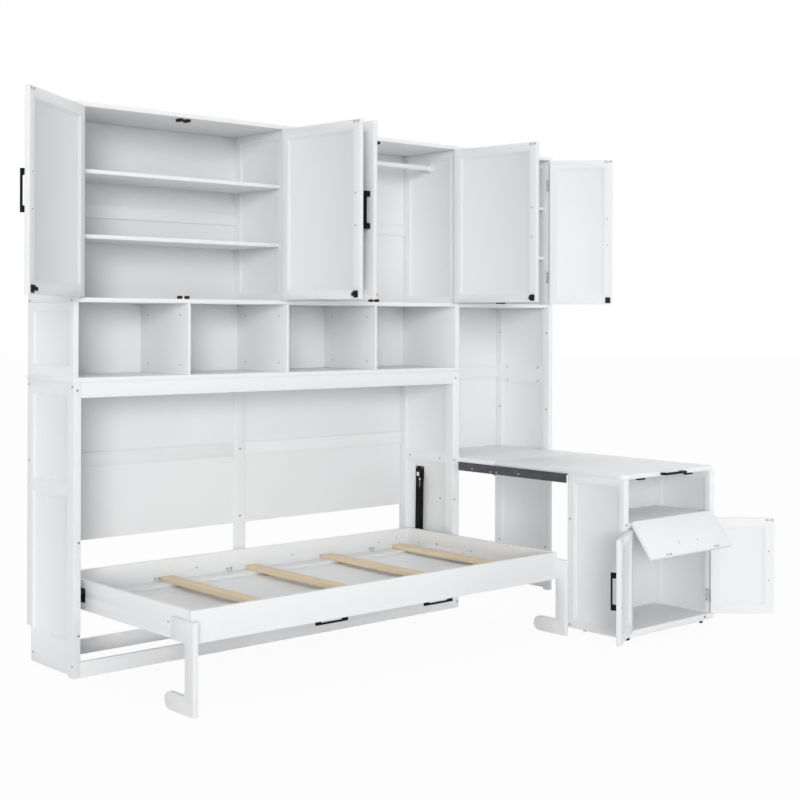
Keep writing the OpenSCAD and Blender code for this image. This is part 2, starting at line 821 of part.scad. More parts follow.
module leg_left() leg(bed_x0 - leg_gap - leg_t, -1);
module leg_right() leg(bed_x1 + leg_gap, 1);

// Places a lift: origin at its upper pivot, its rod running down
module lift_at(x) {
  translate([x, lift_top_in, lift_top_z]) rotate([lift_angle, 0, 0]) children();
}

lift_left_x = bed_x0 - lift_off;
lift_right_x = bed_x1 + lift_off;

// The cover: a rounded case under its eye, bored for the rod and for its pin
module lift_cover(x) {
  r = 8;
  color(black) lift_at(x) difference() {
    union() {
      translate([0, 0, -lift_l]) linear_extrude(lift_l - lift_neck) union() {
        square([lift_t, lift_w - 2 * r], center = true);
        square([lift_t - 2 * r, lift_w], center = true);
        for (sx = [-1, 1], sy = [-1, 1])
          translate([sx * (lift_t / 2 - r), sy * (lift_w / 2 - r)]) circle(r);
      }
      translate([-lift_eye_t / 2, -lift_eye_d * 0.4, -lift_neck - cut])
        cube([lift_eye_t, lift_eye_d * 0.8, lift_neck + cut]);
      translate([-lift_eye_t / 2, 0, 0]) rotate([0, 90, 0]) cylinder(d = lift_eye_d, h = lift_eye_t);
    }
    translate([0, 0, -lift_l - cut]) cylinder(d = lift_bore, h = lift_l - 30);
    translate([-lift_t, 0, 0]) rotate([0, 90, 0]) cylinder(d = lift_pin_d + 2 * fit, h = 2 * lift_t);
  }
}

module lift_rod(x) {
  color(steel) lift_at(x) difference() {
    union() {
      translate([0, 0, -lift_len + stud_d]) cylinder(d = lift_rod_d, h = lift_len - lift_rod_top - stud_d);
      translate([-eye_t / 2, 0, -lift_len]) rotate([0, 90, 0]) cylinder(d = eye_d, h = eye_t);
    }
    translate([-eye_t, 0, -lift_len]) rotate([0, 90, 0]) cylinder(d = stud_d + 1, h = 2 * eye_t);
  }
}

module lift_cover_left() lift_cover(lift_left_x);
module lift_cover_right() lift_cover(lift_right_x);
module lift_rod_left() lift_rod(lift_left_x);
module lift_rod_right() lift_rod(lift_right_x);

module desk_top() {
  r = desk_corner_r;
  color(white) difference() {
    translate([0, 0, desk_z0]) linear_extrude(desk_t) union() {
      translate([desk_x0, swing_y0 + r]) square([desk_x1 - desk_x0, swing_y1 - swing_y0 - r]);
      translate([desk_x0 + r, swing_y0]) square([desk_x1 - desk_x0 - 2 * r, r + cut]);
      translate([desk_x0 + r, swing_y0 + r]) circle(r);
      translate([desk_x1 - r, swing_y0 + r]) circle(r);
    }
    plank_grooves(swing_y0 - cut, swing_y1 + cut);
  }
}

// The pedestal's two sides, with panels set back on both faces
module pedestal_sides() {
  low = [pedestal_front_stile, pedestal_stile];
  high = [pedestal_d - pedestal_stile, desk_z0 - pedestal_lift - pedestal_top_rail];
  color(white) for (x = [pedestal_x0, ped_in1])
    translate([x, pedestal_y0, pedestal_lift]) difference() {
      cube([pedestal_side_t, pedestal_d, desk_z0 - pedestal_lift]);
      for (s = [[panel_recess, 0], [step_d, step_w]], dx = [-cut, pedestal_side_t - s[0]])
        translate([dx, low[0] - s[1], low[1] - s[1]])
          cube([s[0] + cut, high[0] - low[0] + 2 * s[1], high[1] - low[1] + 2 * s[1]]);
    }
}

// Bottom with wells for the castors, shelf, back, and the catches under the desk top
module pedestal_boards() {
  y1 = pedestal_y1 - back_t;
  well = [wheel_w + 24, wheel_d + 24, wheel_d - pedestal_lift + 4];
  color(white) {
    difference() {
      span([ped_in0, pedestal_y0, pedestal_lift], [ped_in1, y1 - seam, ped_floor]);
      for (p = castors)
        translate([p[0], p[1], pedestal_lift - cut]) rotate([0, 0, castor_turn(p)])
          translate([-well[0] / 2, -well[1] / 2, 0]) cube([well[0], well[1], well[2] + cut]);
    }
    span([ped_in0, pedestal_y0, ped_shelf_z0], [ped_in1, y1 - seam, pedestal_shelf_z]);
    span([ped_in0, y1, pedestal_lift], [ped_in1, pedestal_y1, desk_z0]);
  }
  catch = [46, 20, 14];
  catch_in = 124;
  color(black) for (x = [ped_in0 + catch_in, ped_in1 - catch_in])
    translate([x - catch[0] / 2, pedestal_y0 + door_t + 4, desk_z0 - catch[2]]) cube(catch);
}

module desk_pull() {
  color(black) translate([(desk_x0 + desk_x1) / 2, swing_y0, desk_z0 + desk_t / 2])
    rotate([0, 90, 0]) pull(desk_pull_l);
}

// Castors stand in the pedestal's corners, each axle in line with the desk's pin
castors = [for (x = [ped_in0 + castor_side_in, ped_in1 - castor_side_in],
  y = [pedestal_y0 + castor_front_in, pedestal_y1 - 2 * castor_front_in]) [x, y]];
function castor_turn(p) = atan2(p[1] - pin_y, p[0] - pin_x);

module castor_place(p) {
  translate([p[0], p[1], wheel_d / 2]) rotate([0, 0, castor_turn(p)]) children();
}

module castor_brackets() {
  plate_z = wheel_d / 2 + 4;
  cheek = 3;
  gap = 0.4;
  color(steel) for (p = castors) castor_place(p) {
    difference() {
      translate([-wheel_w / 2 - cheek - gap, -9, -5])
        cube([wheel_w + 2 * cheek + 2 * gap, 18, plate_z + 5]);
      translate([-wheel_w / 2 - gap, -10, -6]) cube([wheel_w + 2 * gap, 20, plate_z + 4]);
    }
    translate([-wheel_w / 2 - cheek - gap, 0, 0]) rotate([0, 90, 0])
      cylinder(d = axle_d, h = wheel_w + 2 * cheek + 2 * gap);
  }
}

// A wheel with a raised tread on each shoulder, bored for its axle
module wheel(i) {
  p = castors[i - 1];
  r = wheel_d / 2;
  w = wheel_w / 2;
  color(black) castor_place(p) rotate([0, 90, 0]) rotate_extrude() polygon([
    [axle_d / 2 + fit, -w], [r * 0.45, -w], [r * 0.55, -w + 2], [r * 0.75, -w + 2], [r * 0.85, -w],
    [r - 2, -w], [r, -w + 2], [r, w - 2], [r - 2, w], [r * 0.85, w], [r * 0.75, w - 2],
    [r * 0.55, w - 2], [r * 0.45, w], [axle_d / 2 + fit, w]]);
}

module wheel_1() wheel(1);
module wheel_2() wheel(2);
module wheel_3() wheel(3);
module wheel_4() wheel(4);

module low_door(x, dir, open) {
  color(white) hung(x, pedestal_y0, low_z0, dir, open)
    translate([hinge_gap, 0, 0]) leaf(low_leaf_w, low_z1 - low_z0);
}

module low_pull(x, dir, open) {
  color(black) hung(x, pedestal_y0, low_pull_z, dir, open)
    translate([hinge_gap + low_leaf_w - pull_in, 0, 0]) pull(pull_l);
}

module door_low_left() low_door(ped_in0, 1, low_left_open);
module door_low_right() low_door(ped_in1, -1, low_right_open);
module pull_low_left() low_pull(ped_in0, 1, low_left_open);
module pull_low_right() low_pull(ped_in1, -1, low_right_open);

// The flap hangs from its lower edge; outer face on the hinge line
module flap_at() {
  translate([flap_x0, flap_y, pedestal_shelf_z]) rotate([flap_open, 0, 0]) children();
}

module flap() {
  w = flap_x1 - flap_x0;
  in = door_frame * 0.75;
  color(white) flap_at() translate([0, 0, hinge_gap]) difference() {
    cube([w, door_t, flap_h]);
    translate([in, -cut, in]) cube([w - 2 * in, door_recess + cut, flap_h - 2 * in]);
  }
}

module pull_flap() {
  w = flap_x1 - flap_x0;
  color(black) flap_at() translate([w / 2, 0, flap_h - 24]) rotate([0, 90, 0]) pull(pull_l);
}

side_left();
partition();
housing_top();
apron();
stretchers();
bay_back_frame();
bay_back_panels();
hutch_uprights();
hutch_back();
cabinet_sides();
cabinet_boards();
cabinet_backs();
cabinet_shelves();
clothes_rail();
tower_side();
tower_back();
desk_fixed();
desk_angle_fixed();
pivot_brackets();
door_catches();
door_a_left();
door_a_right();
door_b_left();
door_b_right();
door_c_left();
door_c_right();
pull_a_left();
pull_a_right();
pull_b_left();
pull_b_right();
pull_c_left();
pull_c_right();
bed_rails();
bed_panel();
bed_ledges();
bed_slats();
bed_hardware();
bed_pulls();
leg_left();
leg_right();
lift_cover_left();
lift_cover_right();
lift_rod_left();
lift_rod_right();
desk_top();
desk_angle();
pedestal_sides();
pedestal_boards();
desk_pull();
castor_brackets();
door_low_left();
door_low_right();
pull_low_left();
pull_low_right();
flap();
pull_flap();
wheel_1();
wheel_2();
wheel_3();
wheel_4();
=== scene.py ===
import json
import math

import bmesh
import bpy
from mathutils import Matrix, Vector
from mathutils.bvhtree import BVHTree


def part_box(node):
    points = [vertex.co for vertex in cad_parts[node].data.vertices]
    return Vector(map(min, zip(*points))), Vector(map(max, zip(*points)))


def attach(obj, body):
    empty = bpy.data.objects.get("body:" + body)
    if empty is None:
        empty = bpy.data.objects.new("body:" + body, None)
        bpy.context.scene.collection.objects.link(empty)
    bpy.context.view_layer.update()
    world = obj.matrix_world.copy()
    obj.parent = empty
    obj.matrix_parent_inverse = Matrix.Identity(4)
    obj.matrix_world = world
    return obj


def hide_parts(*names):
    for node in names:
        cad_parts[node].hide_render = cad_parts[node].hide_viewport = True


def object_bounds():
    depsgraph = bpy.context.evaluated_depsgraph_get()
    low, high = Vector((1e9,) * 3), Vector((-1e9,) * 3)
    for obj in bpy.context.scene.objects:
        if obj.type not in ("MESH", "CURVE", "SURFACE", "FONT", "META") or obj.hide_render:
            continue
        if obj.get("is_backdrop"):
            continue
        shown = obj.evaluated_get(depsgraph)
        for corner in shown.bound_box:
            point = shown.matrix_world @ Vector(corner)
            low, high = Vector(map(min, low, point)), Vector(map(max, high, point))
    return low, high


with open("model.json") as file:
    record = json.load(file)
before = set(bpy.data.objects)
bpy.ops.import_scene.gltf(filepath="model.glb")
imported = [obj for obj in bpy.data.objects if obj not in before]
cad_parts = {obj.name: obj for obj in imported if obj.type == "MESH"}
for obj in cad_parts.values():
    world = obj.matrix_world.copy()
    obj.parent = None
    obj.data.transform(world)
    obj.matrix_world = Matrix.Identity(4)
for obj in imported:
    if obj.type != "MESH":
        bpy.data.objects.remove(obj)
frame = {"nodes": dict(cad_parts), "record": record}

bl_info = {
    "name": "Wall bed with swing-out desk",
    "version": (1, 0, 0),
    "blender": (4, 5, 0),
    "location": "View3D > Sidebar > Wall bed",
    "description": "Finishes, fittings and studio for a wall bed with a storage tower and a desk",
    "category": "Object",
}

CAD_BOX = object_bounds()
RECORD = frame["record"]
BODIES = RECORD["behaviour"]["bodies"]
JOINTS = {joint["name"]: joint for joint in RECORD["behaviour"]["joints"]}
BODY_OF = {node: body for body, nodes in BODIES.items() for node in nodes}
SLOT_OF = {part["node"]: part["material_slot"] for part in RECORD["subparts"]}
MM = 0.001
QUARTER = math.pi / 2

# A door's name ends in its hand.
UPPER_DOORS = ("a_left", "a_right", "b_left", "b_right", "c_left", "c_right")
LOWER_DOORS = ("low_left", "low_right")
# Angles between closed and the photo's pose, in degrees. The upper doors' come from their joints.
REST_OPEN = {"low_left": 151.0, "low_right": 138.0, "flap": 143.0}

# Boards, and how far from a face the rays start that look for it
BOARD, RAIL_THICKNESS = 20 * MM, 19 * MM
RAY_MARGIN, FLAP_RAY_START, LIFT_RAY_START = 10 * MM, 60 * MM, 300 * MM

# How far a second finish reaches: the desk's pin, the upper catches, the catches under the desk
DESK_PIN_REACH, UPPER_CATCH_REACH = 5.3 * MM, 30 * MM
DESK_CATCH_HEIGHT, DESK_CATCH_DEPTH = 20 * MM, 60 * MM

# Screws of the pulls, from the pull's middle and from the free edge
PULL_SCREWS = (-68 * MM, 68 * MM)
PULL_INSET, FLAP_PULL_INSET = 26 * MM, 12 * MM

# Strike plates; on the flap, places from its sides and from its upper edge
STRIKE_LENGTH, STRIKE_HEIGHT, STRIKE_SHEET = 39 * MM, 11 * MM, 1.4 * MM
STRIKE_INSET, STRIKE_SCREW_INSET = 3 * MM, 7 * MM
FLAP_STRIKE_INSET, FLAP_STRIKE_DROP, FLAP_STRIKE_RISE = 117 * MM, 8 * MM, 5 * MM

# Hinge leaves: in the door's edge, and on the face beside it with three screws each
LEAF_HALF = 31 * MM
UPPER_LEAF_INSETS, LOWER_LEAF_INSETS = (141 * MM, 128 * MM), (83 * MM, 83 * MM)
EDGE_LEAF_NEAR, EDGE_LEAF_FAR, EDGE_LEAF_MARGIN = 0.7 * MM, 3 * MM, 1 * MM
FACE_LEAF_NEAR, FACE_LEAF_FAR = 0.8 * MM, 24 * MM
FACE_LEAF_SINK, FACE_LEAF_RISE = 0.5 * MM, 0.6 * MM
LEAF_SCREWS = ((-22 * MM, 16 * MM), (0, 9 * MM), (22 * MM, 16 * MM))
LEAF_SCREW_RADIUS, LEAF_SCREW_DEPTH, LEAF_SCREW_RISE = 3 * MM, 0.6 * MM, 0.38 * MM

# Catches behind the low doors
CATCH_DEPTH, CATCH_HEIGHT, CATCH_HALF, CATCH_SPREAD = 18 * MM, 14 * MM, 18 * MM, 26 * MM
CATCH_OVER_DOOR, CATCH_SETBACK = 8 * MM, 23 * MM

# Slat clips
CLIP_SHEET, CLIP_WIDTH, CLIP_HEIGHT, CLIP_FOOT = 1.6 * MM, 34 * MM, 20 * MM, 16 * MM
CLIP_FOOT_MARGIN, CLIP_SCREW_INSET, CLIP_SCREW_HEIGHT = 4 * MM, 7 * MM, 14 * MM

# Lifts: the clip on each cover's pin, and the rod's flat bar and round head
PIN_CLIP_LOW, PIN_CLIP_HIGH = (-5 * MM, -14 * MM), (12 * MM, 6 * MM)
PIN_CLIP_SINK, PIN_CLIP_RISE = 0.4 * MM, 2.4 * MM
ROD_SETBACK, ROD_DROP = 15 * MM, 41 * MM
ROD_BAR_HALF, ROD_BAR_START, ROD_BAR_END = 2.8 * MM, 6 * MM, 40 * MM
ROD_BAR_SINK, ROD_BAR_RISE = 0.6 * MM, 0.8 * MM
ROD_HEAD_RADIUS, ROD_HEAD_DEPTH, ROD_HEAD_RISE = 5.5 * MM, 2.4 * MM, 0.6 * MM

# Screw places in millimetres: Y and Z on faces across X, X and Z on faces across Y
SIDE_SCREWS = [(380, 1150), (14, 1151), (9, 47), (340, 48), (380, 835)]
UPPER_SIDE_SCREWS = [(378, 1494), (21, 1494), (378, 2272), (21, 2272)]
POST_SCREWS = [(15, 1137), (23, 535), (23, 167)]
PARTITION_POST_SCREWS = [(2085, 1136), (2078, 732), (2078, 535), (2099, 30)]
PARTITION_SCREWS = [(312, 735), (91, 733), (94, 533)]
TOWER_INNER_SCREWS = [
    (304, 1170), (81, 1170), (304, 1099), (81, 1099), (362, 1355), (19, 1355),
    (360, 952), (21, 952), (361, 225), (25, 225), (92, 33), (330, 33)]
TOWER_OUTER_SCREWS = [(380, 1494), (21, 1494), (380, 2272), (21, 2272)]
BAY_POST_SCREWS = [(1058, 820), (1058, 508)]
BED_REAR_SCREWS = [(747, 318), (1278, 318), (1809, 318)]
BED_FRONT_SCREWS = [(218, 322), *BED_REAR_SCREWS, (1929, 331)]
BED_END_SCREWS = [(187, 308), (-186, 309), (-560, 309)]
BED_CORNER_SCREWS = [(-567, 311)]
PEDESTAL_LEFT_SCREWS = [(-721, 515), (-721, 34), (-1018, 34)]
PEDESTAL_RIGHT_SCREWS = [*PEDESTAL_LEFT_SCREWS, (-1018, 515)]
PEDESTAL_FRONT_SCREWS = [(2134, 519), (2764, 519)]
ANGLE_SCREWS = [(-262, 688), (-407, 693)]
FIXED_ANGLE_SCREWS = [(-96, 693), (-222, 688)]
DIVIDER_HALF, DIVIDER_END_INSET = 6 * MM, 8 * MM
DIVIDER_SCREW_DEPTHS = (60 * MM, 320 * MM)
DIVIDER_SCREW_HEIGHTS = (40 * MM, 250 * MM)
LIFT_SCREWS = ((1 * MM, 26 * MM), (16 * MM, 9 * MM), (44 * MM, 26 * MM))
SLAT_CLIP_PLACES = (526 * MM, 903 * MM, 1437 * MM, 1748 * MM)


# ---------------------------------------------------------------- settings

class FinishSettings(bpy.types.PropertyGroup):
    """Colours and roughness of the finishes."""

    paint: bpy.props.FloatVectorProperty(
        name="Paint", description="Colour of the painted boards", subtype="COLOR",
        size=4, min=0.0, max=1.0, default=(0.862, 0.872, 0.880, 1.0))
    paint_roughness: bpy.props.FloatProperty(
        name="Paint roughness", description="Roughness of the satin paint",
        min=0.0, max=1.0, default=0.42)
    pine: bpy.props.FloatVectorProperty(
        name="Pine", description="Colour of the bare slats", subtype="COLOR",
        size=4, min=0.0, max=1.0, default=(0.60, 0.455, 0.315, 1.0))
    black: bpy.props.FloatVectorProperty(
        name="Black", description="Colour of the pulls and lifts", subtype="COLOR",
        size=4, min=0.0, max=1.0, default=(0.006, 0.006, 0.0065, 1.0))
    slate: bpy.props.FloatVectorProperty(
        name="Slate", description="Colour of the desk's steel angle", subtype="COLOR",
        size=4, min=0.0, max=1.0, default=(0.058, 0.064, 0.071, 1.0))
    steel: bpy.props.FloatVectorProperty(
        name="Steel", description="Colour of plated steel", subtype="COLOR",
        size=4, min=0.0, max=1.0, default=(0.55, 0.56, 0.57, 1.0))


class FittingSettings(bpy.types.PropertyGroup):
    """Sizes of the small fittings."""

    board_edge: bpy.props.FloatProperty(
        name="Board edge", description="Radius of the boards' softened edges",
        unit="LENGTH", min=0.0002, max=0.004, default=0.0014)
    metal_edge: bpy.props.FloatProperty(
        name="Metal edge", description="Radius of the fittings' edges",
        unit="LENGTH", min=0.0002, max=0.002, default=0.0008)
    screw_head: bpy.props.FloatProperty(
        name="Screw head", description="Diameter of a screw's head",
        unit="LENGTH", min=0.004, max=0.02, default=0.009)
    screw_rise: bpy.props.FloatProperty(
        name="Screw rise", description="Height of a screw's head over its board",
        unit="LENGTH", min=0.0003, max=0.004, default=0.0008)
    key_width: bpy.props.FloatProperty(
        name="Key width", description="Width of the six-sided socket in a screw",
        unit="LENGTH", min=0.002, max=0.01, default=0.0045)


class StageSettings(bpy.types.PropertyGroup):
    """Camera, light and floor."""

    eye: bpy.props.FloatVectorProperty(
        name="Eye", description="Place of the camera", subtype="TRANSLATION",
        size=3, default=(-2.6438, -4.9077, 1.4137))
    yaw: bpy.props.FloatProperty(
        name="Yaw", description="Turn of the view from +Y towards +X",
        subtype="ANGLE", default=0.7263)
    roll: bpy.props.FloatProperty(
        name="Roll", description="Tilt of the horizon", subtype="ANGLE", default=0.0031)
    focal: bpy.props.FloatProperty(
        name="Focal length", description="Focal length in image pixels", default=1377.8)
    horizon: bpy.props.FloatProperty(
        name="Horizon", description="Row of the horizon in the image", default=321.49)
    image: bpy.props.IntProperty(
        name="Image", description="Width and height of the image in pixels", default=800)
    ambient: bpy.props.FloatProperty(
        name="Ambient", description="Strength of the even light", min=0.0, default=0.36)
    front_level: bpy.props.FloatProperty(
        name="Front bank", description="Strength of the light beside the camera",
        min=0.0, default=0.52)
    front_turn: bpy.props.FloatProperty(
        name="Front bank turn", description="Turn of that light from +Y towards +X",
        subtype="ANGLE", default=math.radians(37))
    front_height: bpy.props.FloatProperty(
        name="Front bank height", description="Angle of that light over the floor",
        subtype="ANGLE", default=math.radians(7))
    top_level: bpy.props.FloatProperty(
        name="Top bank", description="Strength of the light from above", min=0.0, default=0.27)
    side_level: bpy.props.FloatProperty(
        name="Side bank", description="Strength of the light from the right",
        min=0.0, default=0.20)
    back_level: bpy.props.FloatProperty(
        name="Back bank", description="Strength of the light from behind", min=0.0, default=0.40)


# ---------------------------------------------------------------- materials

class Shader:
    """A Principled material with short calls for the nodes that feed it."""

    def __init__(self, name):
        self.material = bpy.data.materials.new(name)
        self.material.use_nodes = True
        self.tree = self.material.node_tree
        self.base = self.tree.nodes["Principled BSDF"]
        self.place = self.node("ShaderNodeTexCoord").outputs["Object"]

    def node(self, kind, **values):
        node = self.tree.nodes.new(kind)
        for key, value in values.items():
            setattr(node, key, value)
        return node

    def link(self, source, target):
        self.tree.links.new(source, target)

    def noise(self, scale, stretch=(1, 1, 1), detail=3.0, roughness=0.5):
        """Noise in metres, drawn out along the axes by stretch."""
        mapping = self.node("ShaderNodeMapping")
        mapping.inputs["Scale"].default_value = stretch
        noise = self.node("ShaderNodeTexNoise")
        noise.inputs["Scale"].default_value = scale
        noise.inputs["Detail"].default_value = detail
        noise.inputs["Roughness"].default_value = roughness
        self.link(self.place, mapping.inputs["Vector"])
        self.link(mapping.outputs["Vector"], noise.inputs["Vector"])
        return noise.outputs["Fac"]

    def spread(self, source, low, high):
        """Maps 0.3..0.7 of a noise to low..high."""
        node = self.node("ShaderNodeMapRange")
        node.inputs["From Min"].default_value = 0.3
        node.inputs["From Max"].default_value = 0.7
        node.inputs["To Min"].default_value = low
        node.inputs["To Max"].default_value = high
        self.link(source, node.inputs["Value"])
        return node.outputs["Result"]

    def blend(self, source, stops):
        """A colour ramp through (place, colour) stops."""
        ramp = self.node("ShaderNodeValToRGB")
        bands = ramp.color_ramp.elements
        bands[0].position, bands[0].color = stops[0]
        bands[1].position, bands[1].color = stops[-1]
        for place, colour in stops[1:-1]:
            bands.new(place).color = colour
        self.link(source, ramp.inputs["Fac"])
        return ramp.outputs["Color"]

    def bump(self, source, distance, strength=0.5, below=None):
        node = self.node("ShaderNodeBump")
        node.inputs["Distance"].default_value = distance
        node.inputs["Strength"].default_value = strength
        self.link(source, node.inputs["Height"])
        if below is not None:
            self.link(below, node.inputs["Normal"])
        return node.outputs["Normal"]


def shade(colour, factor):
    """The colour made lighter or darker."""
    return tuple(min(1.0, c * factor) for c in colour[:3]) + (1.0,)


def paint_material(name, tone, finish):
    """Satin paint over smooth board: faint roller texture and uneven gloss."""
    s = Shader(name)
    colour = shade(finish.paint, tone)
    s.link(s.blend(s.noise(2.2, detail=2.0), [(0.3, shade(colour, 0.985)), (0.7, colour)]),
           s.base.inputs["Base Color"])
    s.link(s.spread(s.noise(9.0), finish.paint_roughness - 0.04, finish.paint_roughness + 0.05),
           s.base.inputs["Roughness"])
    roller = s.bump(s.noise(620.0, detail=2.0), 0.00012, 0.35)
    s.link(s.bump(s.noise(24.0, detail=1.0), 0.0004, 0.12, roller), s.base.inputs["Normal"])
    s.base.inputs["Specular IOR Level"].default_value = 0.42
    return s.material


def pine_material(name, finish):
    """Planed pine with its grain along Y."""
    s = Shader(name)
    grain = s.noise(9.0, stretch=(14.0, 0.55, 14.0), detail=6.0, roughness=0.62)
    pale, dark = shade(finish.pine, 1.18), shade(finish.pine, 0.80)
    s.link(s.blend(grain, [(0.32, dark), (0.48, finish.pine[:]), (0.66, pale)]),
           s.base.inputs["Base Color"])
    pores = s.noise(60.0, stretch=(6.0, 0.4, 6.0), detail=4.0)
    s.link(s.spread(pores, 0.52, 0.68), s.base.inputs["Roughness"])
    s.link(s.bump(pores, 0.0003, 0.4), s.base.inputs["Normal"])
    return s.material


def coat_material(name, colour, roughness, grain=900.0, gloss=0.5):
    """Powder coat or moulded plastic: a fine pebbled skin."""
    s = Shader(name)
    s.base.inputs["Specular IOR Level"].default_value = gloss
    s.link(s.blend(s.noise(40.0), [(0.3, shade(colour, 0.85)), (0.7, shade(colour, 1.2))]),
           s.base.inputs["Base Color"])
    s.link(s.spread(s.noise(60.0), roughness - 0.06, roughness + 0.06),
           s.base.inputs["Roughness"])
    s.link(s.bump(s.noise(grain, detail=2.0), 0.0001, 0.5), s.base.inputs["Normal"])
    return s.material


def steel_material(name, colour, roughness, metallic=1.0):
    """Plated steel with fine handling marks."""
    s = Shader(name)
    s.link(s.blend(s.noise(90.0), [(0.3, shade(colour, 0.9)), (0.7, colour)]),
           s.base.inputs["Base Color"])
    s.link(s.spread(s.noise(220.0, stretch=(1, 1, 5)), roughness - 0.08, roughness + 0.08),
           s.base.inputs["Roughness"])
    s.link(s.bump(s.noise(500.0), 0.00005, 0.3), s.base.inputs["Normal"])
    s.base.inputs["Metallic"].default_value = metallic
    return s.material


class WALLBED_OT_finishes(bpy.types.Operator):
    """Makes the paint, timber, coat and steel finishes."""

    bl_idname = "wallbed.finishes"
    bl_label = "Finishes"

    def execute(self, context):
        finish = context.scene.wallbed_finish
        paint_material("paint_frame", 1.0, finish)
        # Painted shade: the doors take the frame's paint 4% darker, to dim them where the front lamp
        # lights them more brightly than the boards around them.
        paint_material("paint_door", 0.96, finish)
        paint_material("paint_bed", 1.0, finish)
        paint_material("paint_tube", 0.98, finish)
        pine_material("pine", finish)
        coat_material("black_coat", finish.black[:], 0.42, gloss=0.10)
        coat_material("black_moulded", shade(finish.black[:], 2.2), 0.55, 1400.0, 0.2)
        coat_material("slate_coat", finish.slate[:], 0.38)
        coat_material("brown_moulded", (0.034, 0.018, 0.011, 1.0), 0.5, 1400.0, 0.2)
        steel_material("bright_steel", finish.steel[:], 0.30)
        steel_material("screw_steel", shade(finish.steel[:], 0.62), 0.36)
        steel_material("zinc", shade(finish.steel[:], 1.35), 0.45, 0.15)
        coat_material("ivory_moulded", (0.78, 0.72, 0.58, 1.0), 0.5, 1400.0)
        steel_material("brass", (0.62, 0.42, 0.16, 1.0), 0.30)
        return {"FINISHED"}


# ---------------------------------------------------------------- mesh helpers

def keep(name, mesh, body, slot):
    """Puts a finished mesh in the scene as a piece of a body."""
    piece = bpy.data.objects.new(name, mesh)
    bpy.context.scene.collection.objects.link(piece)
    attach(piece, body)
    return piece


def evaluated_mesh(source, name):
    """The source's mesh with its modifiers applied; the source is removed."""
    graph = bpy.context.evaluated_depsgraph_get()
    mesh = bpy.data.meshes.new_from_object(source.evaluated_get(graph))
    mesh.name = name
    bpy.data.objects.remove(source)
    return mesh


def softened(mesh, name, radius, segments=2):
    """A copy of a mesh with rounded edges."""
    source = bpy.data.objects.new(name + "_source", mesh)
    bpy.context.scene.collection.objects.link(source)
    bevel = source.modifiers.new("edges", "BEVEL")
    bevel.width = radius
    bevel.segments = segments
    bevel.limit_method = "ANGLE"
    bevel.angle_limit = math.radians(35)
    return evaluated_mesh(source, name)


def merged_copy(node):
    """A node's CAD mesh with its loose triangles joined into flat faces."""
    work = bmesh.new()
    work.from_mesh(frame["nodes"][node].data)
    bmesh.ops.remove_doubles(work, verts=work.verts, dist=2e-6)
    bmesh.ops.dissolve_limit(work, angle_limit=math.radians(0.5),
                             verts=work.verts, edges=work.edges)
    mesh = bpy.data.meshes.new(node + "_merged")
    work.to_mesh(mesh)
    work.free()
    return mesh


def coat(mesh, material):
    """Gives a mesh one material and smooth shading that keeps its corners."""
    mesh.polygons.foreach_set("use_smooth", [True] * len(mesh.polygons))
    mesh.set_sharp_from_angle(angle=math.radians(30))
    mesh.materials.clear()
    mesh.materials.append(bpy.data.materials[material])


def refinish(node, material, radius, segments=2):
    """Replaces a CAD node by the same shape with softened edges and its finish."""
    mesh = softened(merged_copy(node), node + "_piece", radius, segments)
    coat(mesh, material)
    piece = keep(node + "_piece", mesh, BODY_OF[node], SLOT_OF[node])
    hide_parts(node)
    return piece


def second_finish(piece, material, chosen):
    """Puts a second material on the faces whose middle chosen accepts."""
    mesh = piece.data
    mesh.materials.append(bpy.data.materials[material])
    for face in mesh.polygons:
        if chosen(face.center):
            face.material_index = 1


def box_mesh(work, low, high, matrix=None):
    """Adds a box between two corners to a bmesh."""
    made = bmesh.ops.create_cube(work, size=1.0)
    middle = (Vector(low) + Vector(high)) / 2
    size = Vector(high) - Vector(low)
    place = Matrix.Translation(middle) @ Matrix.Diagonal((*size, 1.0))
    bmesh.ops.transform(work, matrix=(matrix or Matrix()) @ place, verts=made["verts"])


def disc_mesh(work, radius, depth, matrix, sides=12):
    """Adds a short cylinder along the matrix's Z to a bmesh, with its middle at the origin."""
    made = bmesh.ops.create_cone(work, cap_ends=True, segments=sides, radius1=radius,
                                 radius2=radius, depth=depth)
    bmesh.ops.transform(work, matrix=matrix, verts=made["verts"])


def finished_piece(name, work, body, slot, material, radius):
    """Turns a bmesh into a piece with softened edges."""
    mesh = bpy.data.meshes.new(name + "_raw")
    bmesh.ops.recalc_face_normals(work, faces=work.faces)
    work.to_mesh(mesh)
    work.free()
    mesh = softened(mesh, name, radius)
    coat(mesh, material)
    return keep(name, mesh, body, slot)


def door_frame(name):
    """Matrix from a door's own frame to the unit's, whether it is a left one, and its height.

    In its own frame the leaf runs along +X from its hinge with its outer face on Y = 0,
    and Z starts at the leaf's lower edge.
    """
    joint = JOINTS["hinge_" + name]
    low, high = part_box("door_" + name)
    left = name.endswith("left")
    opened = REST_OPEN.get(name, joint["range_deg"][1])
    turn = Matrix.Rotation(math.radians(-opened if left else opened), 4, "Z")
    x, y, _ = joint["pos_m"]
    mirror = Matrix() if left else Matrix.Scale(-1, 4, (1, 0, 0))
    place = Matrix.Translation((x, y, low[2])) @ turn @ mirror
    return place, left, high[2] - low[2]


# ---------------------------------------------------------------- boards

PAINTED_FRAME = [
    "side_left", "partition", "housing_top", "apron", "stretchers", "bay_back_frame",
    "bay_back_panels", "hutch_uprights", "hutch_back", "cabinet_sides", "cabinet_boards",
    "cabinet_backs", "cabinet_shelves", "tower_side", "tower_back", "desk_fixed",
]
PAINTED_BED = ["bed_rails", "bed_panel", "bed_ledges", "leg_left", "leg_right"]
PAINTED_DESK = ["desk_top", "pedestal_sides", "pedestal_boards", "flap"]


